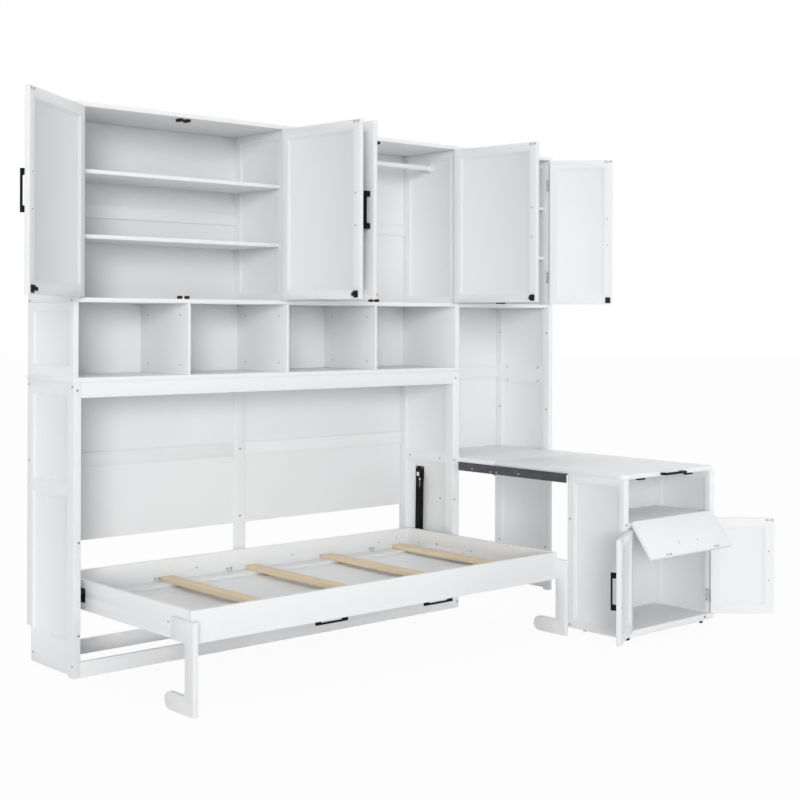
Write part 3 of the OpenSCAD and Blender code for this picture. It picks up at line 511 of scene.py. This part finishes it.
class WALLBED_OT_boards(bpy.types.Operator):
    """Softens the edges of the painted boards and paints them."""

    bl_idname = "wallbed.boards"
    bl_label = "Painted boards"

    def execute(self, context):
        edge = context.scene.wallbed_fitting.board_edge
        for node in PAINTED_FRAME + PAINTED_DESK:
            refinish(node, "paint_frame", edge)
        self.desk_catches()
        for node in PAINTED_BED:
            refinish(node, "paint_bed", edge)
        for door in UPPER_DOORS + LOWER_DOORS:
            # The doors' paint is the frame's paint with painted shade, 4% darker.
            refinish("door_" + door, "paint_door", edge)
        refinish("bed_slats", "pine", edge * 1.4, 3)
        return {"FINISHED"}

    def desk_catches(self):
        """The catches under the desk top are black; they share the pedestal boards' node."""
        low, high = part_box("pedestal_boards")
        second_finish(bpy.data.objects["pedestal_boards_piece"], "black_moulded",
                      lambda at: (at.z > high[2] - DESK_CATCH_HEIGHT
                                  and at.y < low[1] + DESK_CATCH_DEPTH))


# ---------------------------------------------------------------- metal

BLACK_NODES = ["bed_pulls", "desk_pull", "pull_flap", "lift_cover_left", "lift_cover_right"]


class WALLBED_OT_metal(bpy.types.Operator):
    """Finishes the pulls, angles, lifts, pivots and castors."""

    bl_idname = "wallbed.metal"
    bl_label = "Metal parts"

    def execute(self, context):
        edge = context.scene.wallbed_fitting.metal_edge
        pulls = ["pull_" + door for door in UPPER_DOORS + LOWER_DOORS]
        for node in BLACK_NODES + pulls:
            refinish(node, "black_coat", edge)
        refinish("desk_angle", "slate_coat", edge * 0.6)
        for node in ("pivot_brackets", "bed_hardware"):
            refinish(node, "black_coat", edge * 0.6)
        x, y, _ = JOINTS["desk_swing"]["pos_m"]
        second_finish(refinish("desk_angle_fixed", "slate_coat", edge * 0.6), "brass",
                      lambda at: math.hypot(at.x - x, at.y - y) < DESK_PIN_REACH)
        refinish("clothes_rail", "paint_tube", edge)
        for node in ("lift_rod_left", "lift_rod_right", "castor_brackets"):
            refinish(node, "bright_steel", edge * 0.5)
        upper_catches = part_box("housing_top")[0][2] - UPPER_CATCH_REACH
        second_finish(refinish("door_catches", "black_moulded", edge), "brown_moulded",
                      lambda at: at.z > upper_catches)
        for number in range(1, 5):
            refinish(f"wheel_{number}", "black_moulded", edge * 0.5)
        return {"FINISHED"}


# ---------------------------------------------------------------- screws

def screw_tree():
    """Geometry nodes: a socket screw's head on every point, facing the point's normal."""
    tree = bpy.data.node_groups.new("screw_heads", "GeometryNodeTree")
    face = tree.interface
    face.new_socket("Geometry", in_out="INPUT", socket_type="NodeSocketGeometry")
    for name in ("Head", "Rise", "Key"):
        face.new_socket(name, in_out="INPUT", socket_type="NodeSocketFloat")
    face.new_socket("Finish", in_out="INPUT", socket_type="NodeSocketMaterial")
    face.new_socket("Geometry", in_out="OUTPUT", socket_type="NodeSocketGeometry")
    node = tree.nodes.new
    link = tree.links.new
    given, made = node("NodeGroupInput"), node("NodeGroupOutput")

    def halved(socket):
        half = node("ShaderNodeMath")
        half.operation = "MULTIPLY"
        half.inputs[1].default_value = 0.5
        link(socket, half.inputs[0])
        return half.outputs[0]

    head = node("GeometryNodeMeshCylinder")
    head.inputs["Vertices"].default_value = 20
    link(halved(given.outputs["Head"]), head.inputs["Radius"])
    link(given.outputs["Rise"], head.inputs["Depth"])
    socket = node("GeometryNodeMeshCylinder")
    socket.inputs["Vertices"].default_value = 6
    link(halved(given.outputs["Key"]), socket.inputs["Radius"])
    link(given.outputs["Rise"], socket.inputs["Depth"])
    lift = node("ShaderNodeCombineXYZ")
    link(halved(given.outputs["Rise"]), lift.inputs["Z"])
    raised = node("GeometryNodeTransform")
    link(socket.outputs["Mesh"], raised.inputs["Geometry"])
    link(lift.outputs["Vector"], raised.inputs["Translation"])
    bored = node("GeometryNodeMeshBoolean")
    bored.operation = "DIFFERENCE"
    link(head.outputs["Mesh"], bored.inputs["Mesh 1"])
    link(raised.outputs["Geometry"], bored.inputs["Mesh 2"])
    facing = node("GeometryNodeInputNamedAttribute")
    facing.data_type = "FLOAT_VECTOR"
    facing.inputs["Name"].default_value = "facing"
    turned = node("FunctionNodeAlignRotationToVector")
    turned.axis = "Z"
    link(facing.outputs["Attribute"], turned.inputs["Vector"])
    spread = node("GeometryNodeInstanceOnPoints")
    link(given.outputs["Geometry"], spread.inputs["Points"])
    link(bored.outputs["Mesh"], spread.inputs["Instance"])
    link(turned.outputs["Rotation"], spread.inputs["Rotation"])
    real = node("GeometryNodeRealizeInstances")
    link(spread.outputs["Instances"], real.inputs["Geometry"])
    finish = node("GeometryNodeSetMaterial")
    link(real.outputs["Geometry"], finish.inputs["Geometry"])
    link(given.outputs["Finish"], finish.inputs["Material"])
    link(finish.outputs["Geometry"], made.inputs["Geometry"])
    return tree


def screws(name, spots, body, slot, material, head=1.0):
    """A piece made of screw heads; spots are (place, outward direction) pairs."""
    fitting = bpy.context.scene.wallbed_fitting
    tree = bpy.data.node_groups.get("screw_heads") or screw_tree()
    mesh = bpy.data.meshes.new(name + "_points")
    mesh.from_pydata([tuple(place) for place, _ in spots], [], [])
    facing = mesh.attributes.new("facing", "FLOAT_VECTOR", "POINT")
    for index, (_, direction) in enumerate(spots):
        facing.data[index].vector = direction
    source = bpy.data.objects.new(name + "_source", mesh)
    bpy.context.scene.collection.objects.link(source)
    nodes = source.modifiers.new("screws", "NODES")
    nodes.node_group = tree
    sockets = {item.name: item.identifier for item in tree.interface.items_tree
               if item.in_out == "INPUT"}
    nodes[sockets["Head"]] = fitting.screw_head * head
    nodes[sockets["Rise"]] = fitting.screw_rise * 2  # half of the head stands in the board
    nodes[sockets["Key"]] = fitting.key_width * head
    nodes[sockets["Finish"]] = bpy.data.materials[material]
    return keep(name, evaluated_mesh(source, name), body, slot)


LEFT, RIGHT, FRONT, BACK = (-1, 0, 0), (1, 0, 0), (0, -1, 0), (0, 1, 0)
TREES = {}


def surface(nodes, origin, direction):
    """The first point of some CAD nodes that a ray meets."""
    origin, direction = Vector(origin), Vector(direction)
    hits = []
    for node in nodes:
        if node not in TREES:
            mesh = frame["nodes"][node].data
            TREES[node] = BVHTree.FromPolygons([vertex.co for vertex in mesh.vertices],
                                               [face.vertices for face in mesh.polygons])
        point = TREES[node].ray_cast(origin, direction)[0]
        if point is not None:
            hits.append(point)
    if not hits:
        raise ValueError(f"no face of {nodes} beyond {tuple(origin)}")
    return min(hits, key=lambda point: (point - origin).length)


def spots_on(nodes, facing, places, start=None):
    """Screw places on the outermost face that faces a way, or on the first one from start.

    The places are in millimetres: Y and Z for faces across X, X and Z for faces across Y.
    """
    nodes = nodes if isinstance(nodes, tuple) else (nodes,)
    axis = 0 if facing[0] else 1
    if start is None:
        ends = [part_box(node)[0 if facing[axis] < 0 else 1][axis] for node in nodes]
        start = min(ends) - RAY_MARGIN if facing[axis] < 0 else max(ends) + RAY_MARGIN
    for across, height in places:
        origin = [start, start, height * MM]
        origin[1 - axis] = across * MM
        yield surface(nodes, origin, [-value for value in facing]), facing


class WALLBED_OT_screws(bpy.types.Operator):
    """Puts the assembly screws into the boards."""

    bl_idname = "wallbed.screws"
    bl_label = "Assembly screws"

    def execute(self, context):
        self.housing()
        self.bed()
        self.desk()
        self.doors()
        return {"FINISHED"}

    def housing(self):
        """Screws in the fixed unit's sides, posts and dividers."""
        spots = list(spots_on("side_left", LEFT, SIDE_SCREWS))
        spots += spots_on(("side_left", "cabinet_sides"), LEFT, UPPER_SIDE_SCREWS)
        spots += spots_on("side_left", FRONT, POST_SCREWS)
        spots += spots_on(("partition", "tower_side", "cabinet_sides", "tower_back"), FRONT,
                          PARTITION_POST_SCREWS)
        spots += spots_on("partition", LEFT, PARTITION_SCREWS)
        spots += spots_on("tower_side", LEFT, TOWER_INNER_SCREWS)
        spots += spots_on(("tower_side", "cabinet_sides"), RIGHT, TOWER_OUTER_SCREWS)
        spots += spots_on("bay_back_frame", FRONT, BAY_POST_SCREWS)
        screws("frame_screws", spots, "housing", "bright_steel", "screw_steel")
        screws("divider_screws", list(self.divider_spots()),
               "housing", "bright_steel", "screw_steel", 0.7)

    def divider_spots(self):
        """Four screws on the left face of each of the three dividers."""
        low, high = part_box("hutch_uprights")
        first, last = BOARD, high[0] - BOARD - DIVIDER_END_INSET
        pitch = (last - first) / 4
        for number in range(1, 4):
            face = first + number * pitch - DIVIDER_HALF
            for depth in DIVIDER_SCREW_DEPTHS:
                for height in DIVIDER_SCREW_HEIGHTS:
                    yield (face, depth, low[2] + height), LEFT

    def bed(self):
        """Screws in the bed's rails, on the sides that face the ledges and outwards."""
        low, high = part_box("bed_rails")
        centre = [(low[axis] + high[axis]) / 2 for axis in range(2)]
        spots = list(spots_on("bed_rails", FRONT, BED_FRONT_SCREWS, centre[1]))
        spots += spots_on("bed_rails", BACK, BED_REAR_SCREWS, centre[1])
        spots += spots_on("bed_rails", LEFT, BED_END_SCREWS, centre[0])
        spots += spots_on("bed_rails", RIGHT, BED_END_SCREWS, centre[0])
        spots += spots_on("bed_rails", LEFT, BED_CORNER_SCREWS)
        screws("bed_screws", spots, "bed", "bright_steel", "screw_steel", 0.8)

    def desk(self):
        """Screws in the pedestal's sides and in both steel angles."""
        spots = list(spots_on("pedestal_sides", LEFT, PEDESTAL_LEFT_SCREWS))
        spots += spots_on("pedestal_sides", FRONT, PEDESTAL_FRONT_SCREWS)
        spots += spots_on("pedestal_sides", RIGHT, PEDESTAL_RIGHT_SCREWS)
        screws("pedestal_screws", spots, "desk", "bright_steel", "screw_steel")
        screws("angle_screws", list(spots_on("desk_angle", LEFT, ANGLE_SCREWS)),
               "desk", "bright_steel", "bright_steel")
        screws("fixed_angle_screws",
               list(spots_on("desk_angle_fixed", LEFT, FIXED_ANGLE_SCREWS)),
               "housing", "bright_steel", "bright_steel")

    def doors(self):
        """Two screws on each inner face hold the pull."""
        for name in UPPER_DOORS + LOWER_DOORS:
            place, _, _ = door_frame(name)
            low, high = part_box("pull_" + name)
            middle = (low[2] + high[2]) / 2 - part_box("door_" + name)[0][2]
            width = leaf_width(name)
            inner = place.to_3x3() @ Vector((0, 1, 0))
            spots = [(place @ Vector((width - PULL_INSET, BOARD, middle + step)), inner)
                     for step in PULL_SCREWS]
            screws("pull_screws_" + name, spots, "door_" + name, "bright_steel",
                   "screw_steel", 0.7)
        place, inner, middle = flap_frame()
        along = (place.inverted() @ Vector(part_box("pull_flap")[1])).z - FLAP_PULL_INSET
        spots = [(flap_surface(middle + step, along), inner) for step in PULL_SCREWS]
        screws("pull_screws_flap", spots, "flap", "bright_steel", "screw_steel", 0.7)


def flap_frame():
    """Matrix of the flap, the direction its inner face looks in, and its middle in X.

    In its own frame the flap runs along +Z from its hinge and its inner face looks along +Y.
    """
    _, y, z = JOINTS["flap_fold"]["pos_m"]
    low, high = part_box("flap")
    place = Matrix.Translation((0, y, z)) @ Matrix.Rotation(math.radians(REST_OPEN["flap"]), 4, "X")
    return place, place.to_3x3() @ Vector((0, 1, 0)), (low[0] + high[0]) / 2


def flap_surface(x, along):
    """The point of the flap's inner face at a place along its width and height."""
    place, inner, _ = flap_frame()
    return surface(("flap",), place @ Vector((x, FLAP_RAY_START, along)), -inner)


def leaf_width(name):
    """Distance from a door's hinge line to its free edge."""
    place, _, _ = door_frame(name)
    inverse = place.inverted()
    return max((inverse @ vertex.co).x for vertex in frame["nodes"]["door_" + name].data.vertices)


# ---------------------------------------------------------------- door fittings

class WALLBED_OT_door_fittings(bpy.types.Operator):
    """Adds strike plates, latches, catches and hinge leaves to the doors and the flap."""

    bl_idname = "wallbed.door_fittings"
    bl_label = "Door fittings"

    def execute(self, context):
        edge = context.scene.wallbed_fitting.metal_edge * 0.5
        for name in UPPER_DOORS + LOWER_DOORS:
            place, _, height = door_frame(name)
            corner = place @ Matrix.Translation(
                (leaf_width(name) - STRIKE_INSET, BOARD, height - STRIKE_INSET))
            self.strike("strike_" + name, corner, "door_" + name, edge)
            self.hinge_leaves(name)
        for name in UPPER_DOORS:
            self.latch(name, edge)
        self.flap_strikes(edge)
        self.low_catches(edge)
        return {"FINISHED"}

    def strike(self, name, corner, body, edge):
        """A thin plate with two screws; its free top corner is at the matrix's origin."""
        work = bmesh.new()
        box_mesh(work, (-STRIKE_LENGTH, 0, -STRIKE_HEIGHT), (0, STRIKE_SHEET, 0), corner)
        finished_piece(name, work, body, "bright_steel", "zinc", edge)
        inner = corner.to_3x3() @ Vector((0, 1, 0))
        spots = [(corner @ Vector((-inset, STRIKE_SHEET, -STRIKE_HEIGHT / 2)), inner)
                 for inset in (STRIKE_LENGTH - STRIKE_SCREW_INSET, STRIKE_SCREW_INSET)]
        screws(name + "_screws", spots, body, "bright_steel", "screw_steel", 0.75)

    def flap_strikes(self, edge):
        """The flap's two plates meet the catches under the desk top."""
        place, _, _ = flap_frame()
        low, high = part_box("flap")
        tip = max((place.inverted() @ vertex.co).z
                  for vertex in frame["nodes"]["flap"].data.vertices)
        for name, x in (("left", low[0] + FLAP_STRIKE_INSET), ("right", high[0] - FLAP_STRIKE_INSET)):
            point = flap_surface(x, tip - FLAP_STRIKE_DROP)
            turned = Matrix.Translation(point) @ place.to_3x3().to_4x4()
            corner = turned @ Matrix.Translation((STRIKE_LENGTH / 2, 0, FLAP_STRIKE_RISE))
            self.strike("strike_flap_" + name, corner, "flap", edge)

    def latch(self, name, edge):
        """A black latch at the bottom free corner of the inner face, with its nose down."""
        place, _, _ = door_frame(name)
        width = leaf_width(name)
        work = bmesh.new()
        blocks = (  # both sides' distances from the free edge, bottom and top, back and front
            (36 * MM, 10 * MM, 6 * MM, 36 * MM, BOARD, 23.6 * MM),
            (33 * MM, 13 * MM, 13.5 * MM, 34 * MM, 23 * MM, 31 * MM),
            (31 * MM, 17 * MM, 13.5 * MM, 27 * MM, 30 * MM, 41 * MM),
        )
        for far, near, bottom, top, back, front in blocks:
            box_mesh(work, (width - far, back, bottom), (width - near, front, top), place)
        finished_piece("latch_" + name, work, "door_" + name, "black_plastic",
                       "black_moulded", edge * 5)

    def low_catches(self, edge):
        """Magnetic catches under the pedestal's shelf, one behind each low door."""
        low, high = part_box("pedestal_boards")
        middle = (low[0] + high[0]) / 2
        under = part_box("door_low_left")[1][2] + CATCH_OVER_DOOR
        front = low[1] + CATCH_SETBACK
        work = bmesh.new()
        for x in (middle - CATCH_SPREAD, middle + CATCH_SPREAD):
            box_mesh(work, (x - CATCH_HALF, front, under - CATCH_HEIGHT),
                     (x + CATCH_HALF, front + CATCH_DEPTH, under))
        finished_piece("low_catches", work, "desk", "black_plastic", "black_moulded", edge * 2)

    def hinge_leaves(self, name):
        """Thin hinge leaves: one let into the door's edge, one on the face beside it."""
        place, left, height = door_frame(name)
        joint = JOINTS["hinge_" + name]
        x, y, _ = joint["pos_m"]
        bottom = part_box("door_" + name)[0][2]
        upper = name in UPPER_DOORS
        from_bottom, from_top = UPPER_LEAF_INSETS if upper else LOWER_LEAF_INSETS
        heights = (from_bottom, height - from_top)
        work = bmesh.new()
        for z in heights:
            box_mesh(work, (EDGE_LEAF_NEAR, EDGE_LEAF_MARGIN, z - LEAF_HALF),
                     (EDGE_LEAF_FAR, BOARD - EDGE_LEAF_MARGIN, z + LEAF_HALF), place)
        finished_piece("hinge_edge_" + name, work, "door_" + name, "bright_steel",
                       "screw_steel", 0.0002)
        if name in ("a_right", "b_right"):
            return
        side = 1 if left else -1
        leaf, heads = bmesh.new(), bmesh.new()
        for z in heights:
            near, far = x - side * FACE_LEAF_SINK, x + side * FACE_LEAF_RISE
            box_mesh(leaf, (min(near, far), y + FACE_LEAF_NEAR, bottom + z - LEAF_HALF),
                     (max(near, far), y + FACE_LEAF_FAR, bottom + z + LEAF_HALF))
            for step, depth in LEAF_SCREWS:
                disc_mesh(heads, LEAF_SCREW_RADIUS, LEAF_SCREW_DEPTH, Matrix.Translation(
                    (x + side * LEAF_SCREW_RISE, y + depth, bottom + z + step))
                    @ Matrix.Rotation(QUARTER, 4, "Y"))
        body = "housing" if upper else "desk"
        finished_piece("hinge_leaf_" + name, leaf, body, "bright_steel", "zinc", 0.0001)
        finished_piece("hinge_heads_" + name, heads, body, "bright_steel", "screw_steel", 0.00005)


class WALLBED_OT_slat_clips(bpy.types.Operator):
    """Adds the plated clips beside the slats."""

    bl_idname = "wallbed.slat_clips"
    bl_label = "Slat clips"

    def execute(self, context):
        edge = context.scene.wallbed_fitting.metal_edge * 0.4
        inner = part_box("bed_rails")[1][1] - RAIL_THICKNESS
        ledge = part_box("bed_ledges")[1][2]
        work = bmesh.new()
        spots = []
        for x in SLAT_CLIP_PLACES:
            low = Vector((x, inner - CLIP_SHEET, ledge))
            box_mesh(work, low, low + Vector((CLIP_WIDTH, CLIP_SHEET, CLIP_HEIGHT)))
            box_mesh(work, low + Vector((CLIP_FOOT_MARGIN, -CLIP_FOOT, 0)),
                     low + Vector((CLIP_WIDTH - CLIP_FOOT_MARGIN, CLIP_SHEET, CLIP_SHEET)))
            spots += [(low + Vector((across, 0, CLIP_SCREW_HEIGHT)), FRONT)
                      for across in (CLIP_SCREW_INSET, CLIP_WIDTH - CLIP_SCREW_INSET)]
        finished_piece("slat_clips", work, "bed", "bright_steel", "zinc", edge)
        screws("slat_clip_screws", spots, "bed", "bright_steel", "screw_steel", 0.8)
        return {"FINISHED"}


class WALLBED_OT_lift_fittings(bpy.types.Operator):
    """Adds the screws of the lifts' plates, the clips on their pins and the rods' ends."""

    bl_idname = "wallbed.lift_fittings"
    bl_label = "Lift fittings"

    def execute(self, context):
        edge = context.scene.wallbed_fitting.metal_edge * 0.5
        for side, inward in (("left", 1), ("right", -1)):
            cover = "lift_cover_" + side
            low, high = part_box(cover)
            inside = (low[0] + high[0]) / 2 + inward * LIFT_RAY_START
            _, y, z = JOINTS["lift_swing_" + side]["pos_m"]
            spots = []
            for across, up in LIFT_SCREWS:
                plate = surface(("pivot_brackets",), (inside, y + across, z + up), (-inward, 0, 0))
                spots.append((plate, (inward, 0, 0)))
            screws("lift_screws_" + side, spots, "housing", "bright_steel", "bright_steel", 0.75)
            tip = surface(("pivot_brackets",), (inside, y, z), (-inward, 0, 0)).x
            work = bmesh.new()
            near, far = tip - inward * PIN_CLIP_SINK, tip + inward * PIN_CLIP_RISE
            box_mesh(work, (min(near, far), y + PIN_CLIP_LOW[0], z + PIN_CLIP_LOW[1]),
                     (max(near, far), y + PIN_CLIP_HIGH[0], z + PIN_CLIP_HIGH[1]))
            finished_piece("lift_clip_" + side, work, "housing", "bright_steel",
                           "ivory_moulded", edge * 3)
            self.rod_end(side, cover, inward, edge)
        return {"FINISHED"}

    def rod_end(self, side, cover, inward, edge):
        """The rod's plated end and its round head show at the top of the cover."""
        low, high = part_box(cover)
        face = high[0] if inward > 0 else low[0]
        y, top = (low[1] + high[1]) / 2 - ROD_SETBACK, high[2] - ROD_DROP
        bar, head = bmesh.new(), bmesh.new()
        near, far = face - inward * ROD_BAR_SINK, face + inward * ROD_BAR_RISE
        box_mesh(bar, (min(near, far), y - ROD_BAR_HALF, top - ROD_BAR_END),
                 (max(near, far), y + ROD_BAR_HALF, top - ROD_BAR_START))
        disc_mesh(head, ROD_HEAD_RADIUS, ROD_HEAD_DEPTH, Matrix.Translation(
            (face + inward * ROD_HEAD_RISE, y, top)) @ Matrix.Rotation(QUARTER, 4, "Y"), 20)
        for name, work, material in (("rod_bar_", bar, "screw_steel"), ("rod_head_", head, "zinc")):
            finished_piece(name + side, work, BODY_OF[cover], "bright_steel", material, edge)


# ---------------------------------------------------------------- stage

def seen_rays(tree, path, share):
    """A factor that is share for rays of the camera, reflections and glass, and 0 for light."""
    total = path.outputs["Is Camera Ray"]
    for kind in ("Is Glossy Ray", "Is Transmission Ray"):
        join = tree.nodes.new("ShaderNodeMath")
        join.operation = "MAXIMUM"
        tree.links.new(total, join.inputs[0])
        tree.links.new(path.outputs[kind], join.inputs[1])
        total = join.outputs[0]
    scaled = tree.nodes.new("ShaderNodeMath")
    scaled.operation = "MULTIPLY"
    scaled.inputs[1].default_value = share
    tree.links.new(total, scaled.inputs[0])
    return scaled.outputs[0]


class WALLBED_OT_stage(bpy.types.Operator):
    """Sets up the camera, the floor and the studio light."""

    bl_idname = "wallbed.stage"
    bl_label = "Studio"

    def execute(self, context):
        stage = context.scene.wallbed_stage
        context.scene.view_settings.view_transform = "Standard"
        self.camera(context, stage)
        self.world(context, stage)
        self.floor()
        self.lamps(stage)
        return {"FINISHED"}

    def camera(self, context, stage):
        ahead = Vector((math.sin(stage.yaw), math.cos(stage.yaw), 0))
        right = Vector((math.cos(stage.yaw), -math.sin(stage.yaw), 0))
        up = Vector((0, 0, 1))
        c, s = math.cos(stage.roll), math.sin(stage.roll)
        axes = Matrix((right * c + up * s, up * c - right * s, -ahead)).transposed()
        data = bpy.data.cameras.new("camera")
        data.sensor_width = 36.0
        data.lens = stage.focal * data.sensor_width / stage.image
        data.shift_y = (stage.horizon - stage.image / 2) / stage.image
        data.clip_end = 60.0
        camera = bpy.data.objects.new("camera", data)
        camera.matrix_world = Matrix.Translation(stage.eye) @ axes.to_4x4()
        context.scene.collection.objects.link(camera)
        context.scene.camera = camera

    def world(self, context, stage):
        """Even light for the object and a white backdrop for the eye."""
        world = bpy.data.worlds.new("studio")
        world.use_nodes = True
        tree = world.node_tree
        light = tree.nodes["Background"]
        light.inputs["Color"].default_value = (1.0, 1.0, 1.0, 1.0)
        light.inputs["Strength"].default_value = stage.ambient
        white = tree.nodes.new("ShaderNodeBackground")
        path = tree.nodes.new("ShaderNodeLightPath")
        mix = tree.nodes.new("ShaderNodeMixShader")
        tree.links.new(seen_rays(tree, path, 1.0), mix.inputs["Fac"])
        tree.links.new(light.outputs[0], mix.inputs[1])
        tree.links.new(white.outputs[0], mix.inputs[2])
        tree.links.new(mix.outputs[0], tree.nodes["World Output"].inputs["Surface"])
        white.inputs["Color"].default_value = (1.0, 1.0, 1.0, 1.0)
        context.scene.world = world

    def floor(self):
        """A pale floor that takes the shadow and fades into the backdrop."""
        work = bmesh.new()
        bmesh.ops.create_grid(work, x_segments=1, y_segments=1, size=400.0)
        mesh = bpy.data.meshes.new("floor")
        work.to_mesh(mesh)
        work.free()
        floor = bpy.data.objects.new("floor", mesh)
        floor.location = (0, 0, -0.0005)
        bpy.context.scene.collection.objects.link(floor)
        material = bpy.data.materials.new("floor_paper")
        material.use_nodes = True
        tree = material.node_tree
        paper = tree.nodes["Principled BSDF"]
        paper.inputs["Base Color"].default_value = (0.86, 0.86, 0.86, 1.0)
        paper.inputs["Roughness"].default_value = 0.9
        glow = tree.nodes.new("ShaderNodeEmission")
        glow.inputs["Color"].default_value = (1.0, 1.0, 1.0, 1.0)
        path = tree.nodes.new("ShaderNodeLightPath")
        mix = tree.nodes.new("ShaderNodeMixShader")
        tree.links.new(seen_rays(tree, path, 0.94), mix.inputs["Fac"])
        tree.links.new(paper.outputs["BSDF"], mix.inputs[1])
        tree.links.new(glow.outputs["Emission"], mix.inputs[2])
        tree.links.new(mix.outputs["Shader"], tree.nodes["Material Output"].inputs["Surface"])
        mesh.materials.append(material)
        floor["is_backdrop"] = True

    def lamps(self, stage):
        """Wide, even light: banks beside the camera, above, at the right and behind."""
        banks = (  # name, turn from +Y towards +X, height over the floor, strength, width
            ("front_bank", stage.front_turn, stage.front_height, stage.front_level, 20.0),
            ("top_bank", stage.front_turn, math.radians(74), stage.top_level, 100.0),
            ("side_bank", math.radians(-80), math.radians(10), stage.side_level, 60.0),
            ("back_bank", math.radians(-152), math.radians(12), stage.back_level, 60.0),
        )
        for name, turn, height, level, spread in banks:
            data = bpy.data.lights.new(name, "SUN")
            data.energy = level * math.pi
            data.angle = math.radians(spread)
            lamp = bpy.data.objects.new(name, data)
            lamp.visible_glossy = False
            shine = Vector((math.sin(turn) * math.cos(height),
                            math.cos(turn) * math.cos(height), -math.sin(height)))
            lamp.rotation_euler = shine.to_track_quat("-Z", "Y").to_euler()
            bpy.context.scene.collection.objects.link(lamp)


# ---------------------------------------------------------------- panel and run

STEPS = ("finishes", "boards", "metal", "screws", "door_fittings", "slat_clips",
         "lift_fittings", "stage")


class WALLBED_PT_panel(bpy.types.Panel):
    """Lists the steps in the sidebar."""

    bl_label = "Wall bed"
    bl_idname = "WALLBED_PT_panel"
    bl_space_type = "VIEW_3D"
    bl_region_type = "UI"
    bl_category = "Wall bed"

    def draw(self, context):
        for step in STEPS:
            self.layout.operator("wallbed." + step)


CLASSES = (
    FinishSettings, FittingSettings, StageSettings, WALLBED_OT_finishes, WALLBED_OT_boards,
    WALLBED_OT_metal, WALLBED_OT_screws, WALLBED_OT_door_fittings, WALLBED_OT_slat_clips,
    WALLBED_OT_lift_fittings, WALLBED_OT_stage, WALLBED_PT_panel,
)
SETTINGS = {
    "wallbed_finish": FinishSettings,
    "wallbed_fitting": FittingSettings,
    "wallbed_stage": StageSettings,
}


def register():
    for cls in CLASSES:
        bpy.utils.register_class(cls)
    for name, group in SETTINGS.items():
        setattr(bpy.types.Scene, name, bpy.props.PointerProperty(type=group))


def unregister():
    for name in SETTINGS:
        delattr(bpy.types.Scene, name)
    for cls in reversed(CLASSES):
        bpy.utils.unregister_class(cls)


def main():
    register()
    for step in STEPS:
        getattr(bpy.ops.wallbed, step)()
    boxes = {"cad": CAD_BOX, "visual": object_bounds()}
    plain = {name: [list(corner) for corner in box] for name, box in boxes.items()}


if __name__ == "__main__":
    main()
